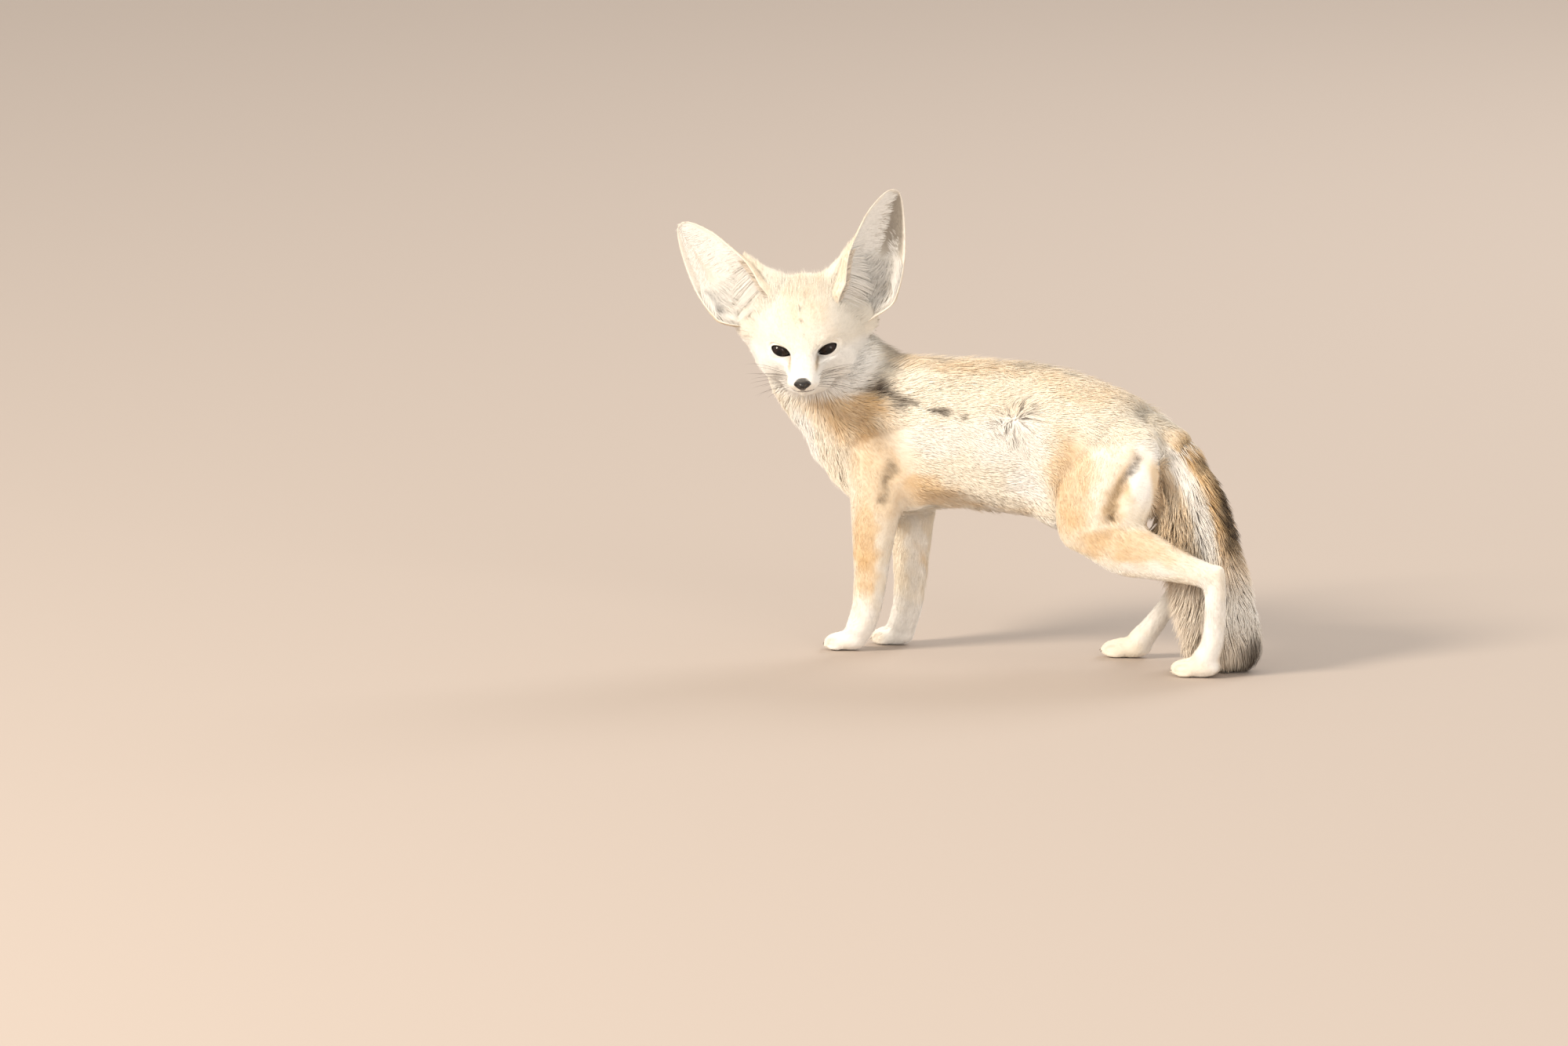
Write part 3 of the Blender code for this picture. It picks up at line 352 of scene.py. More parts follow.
def add(tree, kind, settings=None, **sockets):
    """Adds a node with its settings, those of a colour ramp being its stops, each a place and a grey.

    A socket, by its name or by n and its number, takes a value or an output.
    """
    made = tree.nodes.new(kind)
    for key, value in (settings or {}).items():
        if key == "stops":
            for element, (place, grey) in zip(made.color_ramp.elements, value):
                element.position = place
                element.color = (grey, grey, grey, 1)
        else:
            setattr(made, key, value)
    for key, value in sockets.items():
        numbered = key[0] == "n" and key[1:].isdigit()
        slot = made.inputs[int(key[1:]) if numbered else key.replace("_", " ")]
        if isinstance(value, bpy.types.NodeSocket):
            tree.links.new(value, slot)
        else:
            slot.default_value = value
    return made


def material(name, **values):
    made = bpy.data.materials.new(name)
    made.use_nodes = True
    tree = made.node_tree
    shader = tree.nodes["Principled BSDF"]
    for key, value in values.items():
        shader.inputs[key.replace("_", " ")].default_value = value
    return made, tree, shader


COLOURS = {"data_type": "RGBA"}
MULTIPLIED = {"data_type": "RGBA", "blend_type": "MULTIPLY"}


def coat_material():
    """Dry guard hair over wool: matt, greyer at the root as painted shade among the tufts, with dark tips
    where marked.
    """
    made, tree, shader = material(
        "fennec_guard_hair", Roughness=0.7, Specular_IOR_Level=0.2, Sheen_Weight=0.15, Sheen_Roughness=0.5
    )
    place = add(tree, "ShaderNodeTexCoord").outputs["Object"]
    patches = add(tree, "ShaderNodeTexNoise", Vector=place, Scale=grain(18.2), Detail=3.0).outputs["Fac"]
    streaks = add(tree, "ShaderNodeTexNoise", Vector=place, Scale=grain(2.38), Detail=2.0).outputs["Fac"]
    along = add(tree, "ShaderNodeAttribute", {"attribute_name": "along"}).outputs["Fac"]
    tone = add(tree, "ShaderNodeAttribute", {"attribute_name": "tone"}).outputs["Fac"]
    # Each mark's colour, and how strongly it shows in patches or along the hair
    marked = {
        "golden": ("#E2BC84", patches, ((0.3, 0.7), (0.65, 1.0))),
        "white": ("#FDFAF5", along, ((0.0, 1.0), (1.0, 1.0))),
        "dark": ("#3F332A", along, ((0.3, 0.1), (0.75, 1.0))),
        # dark brown of the tail tip and tear lines, and painted shade in folds, between the toes, in the
        # ears' hollows and behind the cheek
        "brown_and_shade": ("#4A3B2F", along, ((0.5, 1.0), (1.0, 0.75))),
    }
    colour = linear("#FAF2E3")
    for name, (code, value, stops) in marked.items():
        mark = add(tree, "ShaderNodeAttribute", {"attribute_name": name}).outputs["Fac"]
        strength = add(tree, "ShaderNodeValToRGB", {"stops": stops}, Fac=value).outputs["Color"]
        share = add(tree, "ShaderNodeMath", {"operation": "MULTIPLY"}, n0=mark, n1=strength).outputs[0]
        colour = add(tree, "ShaderNodeMix", COLOURS, n0=share, n6=colour, n7=linear(code)).outputs[2]
    # What darkens it: greyer roots as painted shade among the tufts, hairs of unlike tones, and fine streaks
    shaded = [
        (1.0, along, ((0.0, 0.92), (0.5, 1.0))),
        (0.8, tone, ((0.0, 0.88), (0.7, 1.0))),
        (0.15, streaks, ((0.35, 0.7), (0.6, 1.0))),
    ]
    for share, value, stops in shaded:
        grey = add(tree, "ShaderNodeValToRGB", {"stops": stops}, Fac=value).outputs["Color"]
        colour = add(tree, "ShaderNodeMix", MULTIPLIED, n0=share, n6=colour, n7=grey).outputs[2]
    tree.links.new(colour, shader.inputs["Base Color"])
    return made


# Surfaces


def object_from(name, points, faces):
    mesh = bpy.data.meshes.new(name)
    mesh.from_pydata([tuple(p) for p in points], [], [tuple(f) for f in faces])
    mesh.validate()
    obj = bpy.data.objects.new(name, mesh)
    bpy.context.scene.collection.objects.link(obj)
    return obj


def turned_outwards(obj):
    """Makes the object's faces look out of the volume that they close."""
    bm = bmesh.new()
    bm.from_mesh(obj.data)
    bmesh.ops.recalc_face_normals(bm, faces=bm.faces)
    bm.to_mesh(obj.data)
    bm.free()
    return obj


def tube_faces(rings, around, closed=False):
    """The faces of a tube of rings of points, with caps where it doesn't close on itself."""
    faces = []
    for ring in range(rings if closed else rings - 1):
        here, there = ring * around, (ring + 1) % rings * around
        for step in range(around):
            n = (step + 1) % around
            faces.append((here + step, here + n, there + n, there + step))
    if not closed:
        faces.append(tuple(range(around))[::-1])
        faces.append(tuple((rings - 1) * around + step for step in range(around)))
    return faces


def remeshed(obj, voxel):
    """One closed surface for all that overlaps in the object, of steps of the given millimetres."""
    change = obj.modifiers.new("remesh", "REMESH")
    change.mode = "VOXEL"
    change.voxel_size = voxel * MM
    graph = bpy.context.evaluated_depsgraph_get()
    mesh = bpy.data.meshes.new_from_object(obj.evaluated_get(graph))
    obj.modifiers.clear()
    old = obj.data
    obj.data = mesh
    bpy.data.meshes.remove(old)
    return obj


def keep_largest(obj):
    """Drops every closed surface of the object but the largest."""
    bm = bmesh.new()
    bm.from_mesh(obj.data)
    left = set(bm.verts)
    islands = []
    while left:
        seed = left.pop()
        island = [seed]
        front = [seed]
        while front:
            for edge in front.pop().link_edges:
                for vert in edge.verts:
                    if vert in left:
                        left.remove(vert)
                        island.append(vert)
                        front.append(vert)
        islands.append(island)
    islands.sort(key=len)
    bmesh.ops.delete(bm, geom=[vert for island in islands[:-1] for vert in island], context="VERTS")
    bm.to_mesh(obj.data)
    bm.free()


def coordinates(obj):
    found = np.empty(len(obj.data.vertices) * 3, np.float32)
    obj.data.vertices.foreach_get("co", found)
    return found.reshape(-1, 3).astype(float)


def set_coordinates(obj, points):
    obj.data.vertices.foreach_set("co", points.astype(np.float32).ravel())
    obj.data.update()


def vertex_normals(obj):
    found = np.empty(len(obj.data.vertices) * 3, np.float32)
    obj.data.vertices.foreach_get("normal", found)
    return found.reshape(-1, 3).astype(float)


def edges(obj):
    found = np.empty(len(obj.data.edges) * 2, np.int32)
    obj.data.edges.foreach_get("vertices", found)
    return found.reshape(-1, 2)


def spread(values, pairs, rounds, share=0.5):
    """Evens out values over the surface, each point towards the mean of its neighbours."""
    values = np.array(values, float)
    count = len(values)
    degree = np.maximum(np.bincount(pairs.ravel(), minlength=count), 1)
    flat = values.reshape(count, -1)
    for _ in range(rounds):
        for column in range(flat.shape[1]):
            one = flat[:, column]
            total = np.bincount(pairs[:, 0], one[pairs[:, 1]], count)
            total += np.bincount(pairs[:, 1], one[pairs[:, 0]], count)
            flat[:, column] += share * (total / degree - one)
    return flat.reshape(values.shape)


def tail_frames(count=90):
    """Rows of the tail's table at even steps, and the directions across the tail and to its outer side."""
    rows = spline(TAIL, count)
    tangents = unit(np.gradient(rows[:, :3], axis=0))
    sides = unit(np.cross(tangents, np.array((0.8, 0, 0.6))))
    return rows, sides, unit(np.cross(sides, tangents))


def tail_core():
    """The tail under its brush, from inside the rump to short of the tip."""
    rings = 36
    around = 24
    rows, sides, fronts = (part[:rings] for part in tail_frames(40))
    along = np.linspace(0, 1, rings)
    share = 0.8 + (TAIL_CORE_SHARE - 0.8) * smooth_step(0.08, 0.4, along)
    share *= np.where(along > 0.9, np.sqrt(np.clip(1 - ((along - 0.9) / 0.105) ** 2, 0, 1)), 1)
    points = []
    for k, row in enumerate(rows):
        for step in range(around):
            turn = math.tau * step / around
            reach = row[4] if math.sin(turn) > 0 else row[5]
            out = sides[k] * row[3] * math.cos(turn) + fronts[k] * reach * math.sin(turn)
            points.append(row[:3] + out * share[k])
    return turned_outwards(object_from("tail_core", body_place(points), tube_faces(rings, around)))


SEAM_FILL = 0.35  # pushes neighbouring solids into each other before they become one skin
SKIN_VOXEL = 1.45
FLOOR_GAP = 0.0003  # metres from the floor to the lowest skin
EYE_MIDDLE = 6  # how far forward of the eyes' line the distance from an eye is measured


def region_shares(points):
    """How much each point belongs to each region of the coat, by the solid that lies nearest."""
    corners = []
    faces = []
    owners = []
    for name, region in FLESH.items():
        obj = nodes[name]
        start = len(corners)
        corners += [tuple(v.co) for v in obj.data.vertices]
        for polygon in obj.data.polygons:
            faces.append(tuple(start + k for k in polygon.vertices))
            owners.append(REGIONS.index(region))
    tree = BVHTree.FromPolygons(corners, faces)
    shares = np.zeros((len(points), len(REGIONS)))
    for k, point in enumerate(points):
        shares[k, owners[tree.find_nearest(point)[2]]] = 1
    return shares


def joined_flesh():
    """The solids of body, legs and head and the core of the tail as one closed surface."""
    bm = bmesh.new()
    for name in FLESH:
        if name != "tail":
            bm.from_mesh(nodes[name].data)
    bmesh.ops.remove_doubles(bm, verts=bm.verts, dist=1e-6)
    bm.normal_update()
    for vert in bm.verts:
        vert.co += vert.normal * SEAM_FILL * MM
    core = tail_core()
    bm.from_mesh(core.data)
    bpy.data.objects.remove(core)
    mesh = bpy.data.meshes.new("skin")
    bm.to_mesh(mesh)
    bm.free()
    skin = bpy.data.objects.new("skin", mesh)
    bpy.context.scene.collection.objects.link(skin)
    keep_largest(remeshed(skin, SKIN_VOXEL))
    return skin


def make_skin():
    """One closed skin over body, legs, head and tail, sunk from the coat's surface by the coat's depth."""
    skin = joined_flesh()
    pairs = edges(skin)
    points = coordinates(skin)
    even = spread(region_shares(points), pairs, 14)
    share = dict(zip(REGIONS, even.T))
    face = head_frame(points)
    near_eye = np.full(len(face), np.inf)
    for side in (1, -1):
        away = face - (EYE_MIDDLE, side * EYE_APART, EYE_UP)
        near_eye = np.minimum(near_eye, np.linalg.norm(away, axis=1))
    firm = np.where((near_eye < 13) | (face[:, 0] > 22), 0.25, 1.0)[:, None]
    firm[share["paw"] > 0.3] = 0.35
    points = points + firm * (spread(points, pairs, 12) - points)
    ridge = 0.7 * smooth_step(34, 42, face[:, 2]) * smooth_step(12, 20, np.abs(face[:, 1]))
    points = points + ridge[:, None] * (spread(points, pairs, 24) - points)
    body = body_frame(points)
    under = smooth_step(130, 106, body[:, 2]) * (share["torso"] + share["hindleg"])
    under = spread(under * smooth_step(70, 84, body[:, 2]), pairs, 30)
    points[:, 2] += under * np.interp(body[:, 0], *np.array(BELLY_RISE).T) * MM
    muzzle_top = smooth_step(22, 37, face[:, 0]) * smooth_step(-19, -10, face[:, 2])
    points = points - (2.2 * muzzle_top)[:, None] * HEAD_TURNED[:, 2] * MM
    crease = smooth_step(30, 14, np.linalg.norm(body_frame(points) - (124, 0, 140), axis=1))
    points = points + crease[:, None] * (spread(points, pairs, 40) - points)
    set_coordinates(skin, points)
    depth = 0.95 * (even @ np.array([COAT[region][3] for region in REGIONS]))
    depth = depth * (1 - smooth_step(0.1, 0.7, share["tail"]))
    depth = np.where(face[:, 0] > -12, np.minimum(depth, 1.4), depth)
    depth = np.where((near_eye < 12) | (face[:, 0] > 10), np.minimum(depth, 0.8), depth)
    depth = np.where(near_eye < 9.5, 0.1, depth)
    depth = spread(depth, pairs, 6)
    body = body_frame(points)
    for line, half_width, fold_depth, _ in FOLDS:
        depth = depth + fold_depth * bump(fold_distance(body, line), half_width + 1)
    depth = depth + 1.7 * toe_gaps(body)
    set_coordinates(skin, points - vertex_normals(skin) * depth[:, None] * MM)
    points = spread(coordinates(skin), pairs, 1)
    points[:, 2] = np.maximum(points[:, 2], FLOOR_GAP)
    set_coordinates(skin, points)
    even = add_lids(skin, even)
    skin.data.shade_smooth()
    return skin, even


LID_RINGS = 12
LID_STEPS = 64
LID_REACH = 1.95


def almond(turn, scale=1.0):
    """The outline of the lids' opening on the left eye's side, its inner corner drawn down to the nose."""
    half_width, over, under = LID_OPENING
    y = half_width * math.cos(turn)
    z = (over if math.sin(turn) > 0 else under) * math.copysign(abs(math.sin(turn)) ** 1.12, math.sin(turn))
    corner = max(0.0, -math.cos(turn)) ** 7 / scale**2
    return y * scale - 1.3 * corner, z * scale - 0.7 * corner + OPENING_RISE


def add_lids(skin, shares):
    """Lids: skin that comes down over each eyeball to the opening's rim, from the face round it."""
    points = coordinates(skin)
    surface = BVHTree.FromPolygons(points.tolist(), [tuple(face.vertices) for face in skin.data.polygons])
    lids = []
    for side in (1, -1):
        matrix = eye_matrix(side)
        turned_back = matrix.to_3x3()
        eye, size = eye_place(points, side)
        near = (size < LID_REACH - 0.12) & (eye[:, 0] > -1)
        ball = np.sqrt(np.maximum((EYE_RADIUS + 0.6) ** 2 - eye[:, 1] ** 2 - eye[:, 2] ** 2, 9.0))
        share = smooth_step(1.0, LID_REACH, size)
        low = (1 - share) * ball + share * eye[:, 0] - 1.1 * (1 - share) - 0.4
        eye[near, 0] = np.minimum(eye[near, 0], low[near])
        points[near] = (eye[near] * MM) @ np.array(turned_back).T + np.array(matrix.translation)
        made = []
        faces = []
        for ring in range(LID_RINGS):
            scale = 1 + (LID_REACH - 1) * (ring / (LID_RINGS - 1)) ** 1.4
            for step in range(LID_STEPS):
                y, z = almond(math.tau * step / LID_STEPS, scale)
                y *= side
                lift = 0.15 if ring == 0 else 0.95
                out = math.sqrt(max((EYE_RADIUS + lift) ** 2 - y**2 - z**2, 9.0))
                start = matrix @ (Vector((30, y, z)) * MM)
                found = surface.ray_cast(start, turned_back @ Vector((-1, 0, 0)), 0.05)
                ground = 30 - found[3] / MM if found[0] is not None else out
                blend = float(smooth_step(1.05, 1.75, scale))
                sink = 0.9 * float(smooth_step(1.7, LID_REACH, scale))
                x = (1 - blend) * out + blend * max(ground, out - 7) - sink
                x = max(x, math.sqrt(max((EYE_RADIUS + 0.6) ** 2 - y**2 - z**2, 0.0))) if ring else x
                made.append(matrix @ (Vector((x, y, z)) * MM))
                if ring:
                    following = (step + 1) % LID_STEPS
                    rim = (ring - 1) * LID_STEPS
                    face = (rim + step, rim + LID_STEPS + step, rim + LID_STEPS + following, rim + following)
                    faces.append(face if side > 0 else face[::-1])
        lids.append((made, faces))
    set_coordinates(skin, points)
    bm = bmesh.new()
    bm.from_mesh(skin.data)
    for made, faces in lids:
        verts = [bm.verts.new(point) for point in made]
        for face in faces:
            bm.faces.new([verts[k] for k in face])
    bm.to_mesh(skin.data)
    bm.free()
    more = np.zeros((len(skin.data.vertices) - len(shares), shares.shape[1]))
    more[:, REGIONS.index("head")] = 1
    return np.vstack((shares, more))


def unwrap(obj):
    """Lays the object's surface out flat in the map named OFBake."""
    while obj.data.uv_layers:
        obj.data.uv_layers.remove(obj.data.uv_layers[0])
    obj.data.uv_layers.new(name="OFBake")
    bpy.ops.object.select_all(action="DESELECT")
    obj.select_set(True)
    bpy.context.view_layer.objects.active = obj
    bpy.ops.object.mode_set(mode="EDIT")
    bpy.ops.mesh.select_all(action="SELECT")
    bpy.ops.uv.smart_project(angle_limit=math.radians(66), island_margin=0.002)
    bpy.ops.object.mode_set(mode="OBJECT")
    obj.select_set(False)


class Ground:
    """A surface that hair grows on: its triangles, smooth normals and unwrap."""

    def __init__(self, obj):
        mesh = obj.data
        mesh.calc_loop_triangles()
        count = len(mesh.loop_triangles)
        self.points = coordinates(obj)
        self.normals = vertex_normals(obj)
        corners = np.empty(count * 3, np.int32)
        mesh.loop_triangles.foreach_get("vertices", corners)
        self.corners = corners.reshape(-1, 3)
        loops = np.empty(count * 3, np.int32)
        mesh.loop_triangles.foreach_get("loops", loops)
        layout = np.empty(len(mesh.loops) * 2, np.float32)
        mesh.uv_layers["OFBake"].data.foreach_get("uv", layout)
        self.layout = layout.reshape(-1, 2)[loops.reshape(-1, 3)]
        self.tree = BVHTree.FromPolygons(self.points.tolist(), self.corners.tolist())

    def scatter(self, count, weights, draw):
        """Evenly spread roots: for each its triangle and its place in it."""
        a, b, c = (self.points[self.corners[:, k]] for k in range(3))
        area = np.linalg.norm(np.cross(b - a, c - a), axis=1)
        total = np.cumsum(area * weights[self.corners].mean(axis=1))
        picks = (np.arange(count) + draw.random(count)) / count * total[-1]
        face = np.minimum(np.searchsorted(total, picks), len(total) - 1)
        u, v = draw.random((2, count))
        over = u + v > 1
        u[over], v[over] = 1 - u[over], 1 - v[over]
        return face, np.stack((1 - u - v, u, v), axis=1)

    def at(self, face, place, values):
        """Values given at the surface's points, read at places in its triangles."""
        picked = values[self.corners[face]]
        return np.einsum("nk,nk...->n...", place, picked)

    def near(self, points):
        """The nearest points of the surface and its smooth normals there."""
        places = np.empty((len(points), 3))
        face = np.empty(len(points), np.int64)
        find = self.tree.find_nearest
        for k, point in enumerate(points.tolist()):
            found = find(point)
            places[k] = found[0]
            face[k] = found[2]
        a, b, c = (self.points[self.corners[face, k]] for k in range(3))
        across = np.cross(b - a, c - a)
        whole = np.maximum((across**2).sum(axis=1), 1e-20)
        u = (np.cross(c - b, places - b) * across).sum(axis=1) / whole
        v = (np.cross(a - c, places - c) * across).sum(axis=1) / whole
        weights = np.clip(np.stack((u, v, 1 - u - v), axis=1), 0, 1)
        normals = np.einsum("nk,nkj->nj", weights, self.normals[self.corners[face]])
        return places, unit(normals)


def guide_points():
    """Places and directions every few millimetres along the lines of the coat's lie."""
    places = []
    ways = []
    lines = [body_place(line) for line in BODY_LINES]
    for line in HEAD_LINES:
        sides = (1, -1) if line[0][1] or line[2][1] else (1,)
        lines += [head_place([(x, y * side, z) for x, y, z in line]) for side in sides]
    for line in lines:
        fine = spline(line, 2 + int(np.linalg.norm(np.diff(line, axis=0), axis=1).sum() / (6 * MM)))
        places.append((fine[1:] + fine[:-1]) / 2)
        ways.append(unit(fine[1:] - fine[:-1]))
    return np.vstack(places), np.vstack(ways)


GUIDE_PLACES, GUIDE_WAYS = guide_points()
LINE_REACH = 13.0  # how far from a line the hair follows it, in millimetres
AT_ONCE = 8000  # points that are worked on at once, to save memory


def eye_place(points, side):
    """Points in an eye's frame, in millimetres, and how far out they lie, 1 at the lids' opening."""
    matrix = eye_matrix(side)
    eye = (points - np.array(matrix.translation)) @ np.array(matrix.to_3x3()) / MM
    half_width, over, under = LID_OPENING
    up = eye[:, 2] - OPENING_RISE
    size = np.hypot(eye[:, 1] / half_width, up / np.where(up > 0, over, under))
    return eye, size


def lie(points, normals):
    """The direction in which the coat lies at points of the skin."""
    made = np.empty_like(points)
    for start in range(0, len(points), AT_ONCE):
        part = slice(start, start + AT_ONCE)
        distance = (((points[part, None, :] - GUIDE_PLACES[None]) / MM) ** 2).sum(axis=2)
        weight = np.exp(-distance / (2 * LINE_REACH**2)) + 20 / (distance + 60) ** 2
        made[part] = weight @ GUIDE_WAYS
    made = unit(made)
    body = body_frame(points)
    away = body - WHORL[0]
    pull = (1.5 + 0.7 * waves(body, 9, SEED + 26)) * bump(np.hypot(away[:, 0], away[:, 2]), WHORL[1])
    made += unit(away * (1, 0, 1)) * (pull * (away[:, 1] < 20))[:, None]
    for side in (1, -1):
        eye, size = eye_place(points, side)
        pull = 1.1 * smooth_step(2.6, 1.0, size) * (eye[:, 0] > -2)
        made += (unit(eye * (0, 1, 1)) @ np.array(eye_matrix(side).to_3x3()).T) * pull[:, None]
    made -= normals * (made * normals).sum(axis=1, keepdims=True)
    return unit(made)


def turned(ways, normals, angles):
    """Directions turned about the normals."""
    across = np.cross(normals, ways)
    return ways * np.cos(angles)[:, None] + across * np.sin(angles)[:, None]


def fold_distance(places, line):
    """How far points lie from a line across the coat, with less care for their depth."""
    line = np.array(line, float) * (1, 0.12, 1)
    places = places * (1, 0.12, 1)
    found = np.full(len(places), 1e9)
    for a, b in zip(line[:-1], line[1:]):
        share = np.clip(((places - a) @ (b - a)) / ((b - a) @ (b - a)), 0, 1)
        found = np.minimum(found, np.linalg.norm(places - (a + share[:, None] * (b - a)), axis=1))
    return found


def toe_gaps(body):
    """1 between the toes of the paws and -1 along their middles, for points in the body's frame."""
    found = np.zeros(len(body))
    for x, y, half_length in PAWS.values():
        front = smooth_step(x - 0.05 * half_length, x - 0.5 * half_length, body[:, 0])
        front = front * (body[:, 0] > x - half_length - 8) * (np.abs(body[:, 1] - y) < 12)
        front = front * (body[:, 2] < 20) * smooth_step(1, 4, body[:, 2])
        found += front * np.cos(math.tau * (body[:, 1] - y) / TOE_SPREAD)
    return found


def marks(places, table):
    """The greatest of a table's soft-edged marks at points in the body's frame."""
    found = np.zeros(len(places))
    for centre, reach, strength in table:
        distance = np.linalg.norm((places - centre) / reach, axis=1)
        found = np.maximum(found, strength * (1 - smooth_step(0.55, 1.25, distance)))
    return found


TAIL_ROWS, _, TAIL_FRONTS = tail_frames()


def tail_place(body):
    """How far along the tail points lie, how far out to its upper side, and how near its line they are."""
    along = np.empty(len(body))
    outer = np.empty(len(body))
    distance = np.empty(len(body))
    for start in range(0, len(body), AT_ONCE):
        part = slice(start, start + AT_ONCE)
        away = ((body[part, None, :] - TAIL_ROWS[None, :, :3]) ** 2).sum(axis=2)
        nearest = away.argmin(axis=1)
        along[part] = nearest / (len(TAIL_ROWS) - 1)
        outer[part] = ((body[part] - TAIL_ROWS[nearest, :3]) * TAIL_FRONTS[nearest]).sum(axis=1)
        distance[part] = np.sqrt(away.min(axis=1))
    return along, outer, distance


def fold_marks(body, golden):
    """Painted shade in folds and between toes, dark rays round the whorl, and painted warm shade in gold
    beside the thigh's folds.
    """
    # painted shade between the toes
    brown_and_shade = 0.45 * smooth_step(0.3, 1.0, toe_gaps(body))
    fine = smooth_step(-0.7, 0.9, waves(body * (1, 1, 2.5), 7, SEED + 21))
    bent = stirred(body, 2.2, 6, SEED + 30)
    # Painted shade along each fold
    for line, half_width, _, darkness in FOLDS:
        apart = fold_distance(bent, line) / half_width
        breaks = fine if half_width < FINE_FOLD else 0.5 + 0.5 * fine
        brown_and_shade = np.maximum(brown_and_shade, darkness * bump(apart, 1) * breaks)
        # painted warm shade in gold beside the thigh's folds
        if line[0][0] > HIND_FOLDS:
            golden = np.maximum(golden, 0.9 * bump(apart, 1.7))
    away = body - WHORL[0]
    angle = np.arctan2(away[:, 2], away[:, 0])
    rays = np.sin(11 * angle + 3 * waves(body, 10, SEED + 22)) * np.abs(np.cos(angle - 0.5)) ** 0.5
    near = (body[:, 1] < -15) * smooth_step(24, 6, np.hypot(away[:, 0], away[:, 2]))
    return golden, np.maximum(brown_and_shade, near * smooth_step(0.2, 0.9, rays) * 0.85)


def head_marks(face, golden, white, dark, brown_and_shade):
    """The face: golden crown and temples, white cheeks, streaks from the eyes and dark dashes on top; behind
    the cheek, dark hair with painted shadow of the head.
    """
    forward, left, up = face.T
    fox_left = left > 0
    left = np.abs(left)
    in_head = smooth_step(-58, -44, forward) * smooth_step(-46, -36, up)
    in_head = in_head * smooth_step(64, 50, np.linalg.norm(face - (-15, 0, 4), axis=1))
    pale = smooth_step(10, -4, up) * smooth_step(-50, -25, forward)
    crown = smooth_step(12, 24, up) * smooth_step(24, 8, left + 3 * waves(face, 7, SEED + 23))
    temple = bump(left - 21, 6) * bump(up - 12, 5) * smooth_step(-20, -5, forward)
    streak = bump(left - 9.5, 1.8) * bump(up + 6, 4) * smooth_step(4, 9, forward)
    cheek = 0.5 * bump(left - 27, 8) * bump(up + 15, 7) * fox_left
    crown_gold = (0.22 + 0.14 * waves(face, 8, SEED + 27)) * crown
    face_gold = np.maximum.reduce([crown_gold, 0.2 * temple, 0.8 * streak, cheek])
    golden = golden * (1 - in_head) + in_head * face_gold
    face_white = np.maximum(pale, 0.35) * (1 - 0.7 * np.maximum(crown, streak))
    white = white * (1 - in_head) + in_head * face_white
    dashes = bump(left - 1.5, 1.2) * smooth_step(0.25, 0.9, waves(face * (1, 1, 0.4), 4, SEED + 24))
    dashes = dashes * smooth_step(8, 12, up) * smooth_step(40, 30, up)
    dark = np.maximum(dark * (1 - in_head), in_head * 0.95 * dashes)
    tear = bump(left - 9.8, 0.8) * bump(up + 5.5, 3.2) * smooth_step(3, 7, forward)
    brown_and_shade = np.maximum(brown_and_shade, np.where(fox_left, 0.5, 0.25) * tear)
    # nape: dark hair behind the cheek with painted shadow of the head over it, on the fox's left side only
    nape = smooth_step(-30, -44, forward) * smooth_step(-44, -34, up) * smooth_step(22, 10, up) * fox_left
    nape = nape * smooth_step(80, 62, np.linalg.norm(face - (-30, 0, 0), axis=1))
    return golden, white, dark, np.maximum(brown_and_shade, 0.32 * nape)


def tail_marks(body, golden, white, dark, brown_and_shade):
    """The brush: dark outer edge and tip, tan beside the edge, a white band partly strengthened as painted
    light, gold towards the legs, and painted light on its inner lower part.
    """
    along, outer, distance = tail_place(body)
    outer = outer / TAIL_CORE_SHARE + 1.5 * waves(body, 8, SEED + 25)
    in_tail = smooth_step(0.07, 0.16, along) * smooth_step(38, 33, distance)
    edge = smooth_step(21, 27, outer) * smooth_step(0.56, 0.42, along) * smooth_step(0.08, 0.2, along)
    tan = smooth_step(15, 21, outer) * smooth_step(0.7, 0.5, along) + 0.45 * smooth_step(0.6, 0.8, along)
    band = smooth_step(0, 4, outer) * smooth_step(19, 13, outer) * smooth_step(0.55, 0.4, along)
    # The lower white band is the brush's white, strengthened as painted light against the brush's own shade
    band = band + 0.9 * bump(along - 0.66, 0.17)
    tip = smooth_step(0.85, 0.96, along + 0.04 * waves(body, 12, SEED + 9) + 0.003 * outer)
    inner = smooth_step(3, -7, outer) * smooth_step(0.95, 0.85, along)
    # low: white on the inner lower brush, painted light where the thigh shades it
    low = 0.4 * inner * smooth_step(0.42, 0.58, along)
    tail_gold = np.clip(np.maximum(tan, 0.2 + 0.4 * inner), 0, 1)
    golden = golden * (1 - in_tail) + in_tail * tail_gold
    tail_white = np.clip(band * (1 - edge) * (1 - 0.8 * inner) + low, 0, 1) * 0.9
    white = white * (1 - in_tail) + in_tail * tail_white
    dark = dark * (1 - in_tail) + in_tail * np.maximum(edge, 0.9 * tip)
    brown_and_shade = np.maximum(brown_and_shade, in_tail * np.maximum(0.6 * tip, 0.06 * smooth_step(0.65, 0.8, along)))
    return golden, white, dark, brown_and_shade


def markings(points):
    """The coat's colours, with its painted shade, as shares from 0 to 1, for skin and hair alike."""
    body = body_frame(points)
    rough = stirred(body, 3.5, 9, SEED)
    golden = np.clip(marks(rough, GOLDEN) + 0.06 + 0.08 * waves(body, 30, SEED + 5), 0, 1)
    golden, brown_and_shade = fold_marks(body, golden)
    shares = golden, marks(rough, WHITE), marks(rough, DARK), brown_and_shade
    shares = tail_marks(body, *head_marks(head_frame(points), *shares))
    return {key: np.clip(share, 0, 1) for key, share in zip(("golden", "white", "dark", "brown_and_shade"), shares)}


# Hair


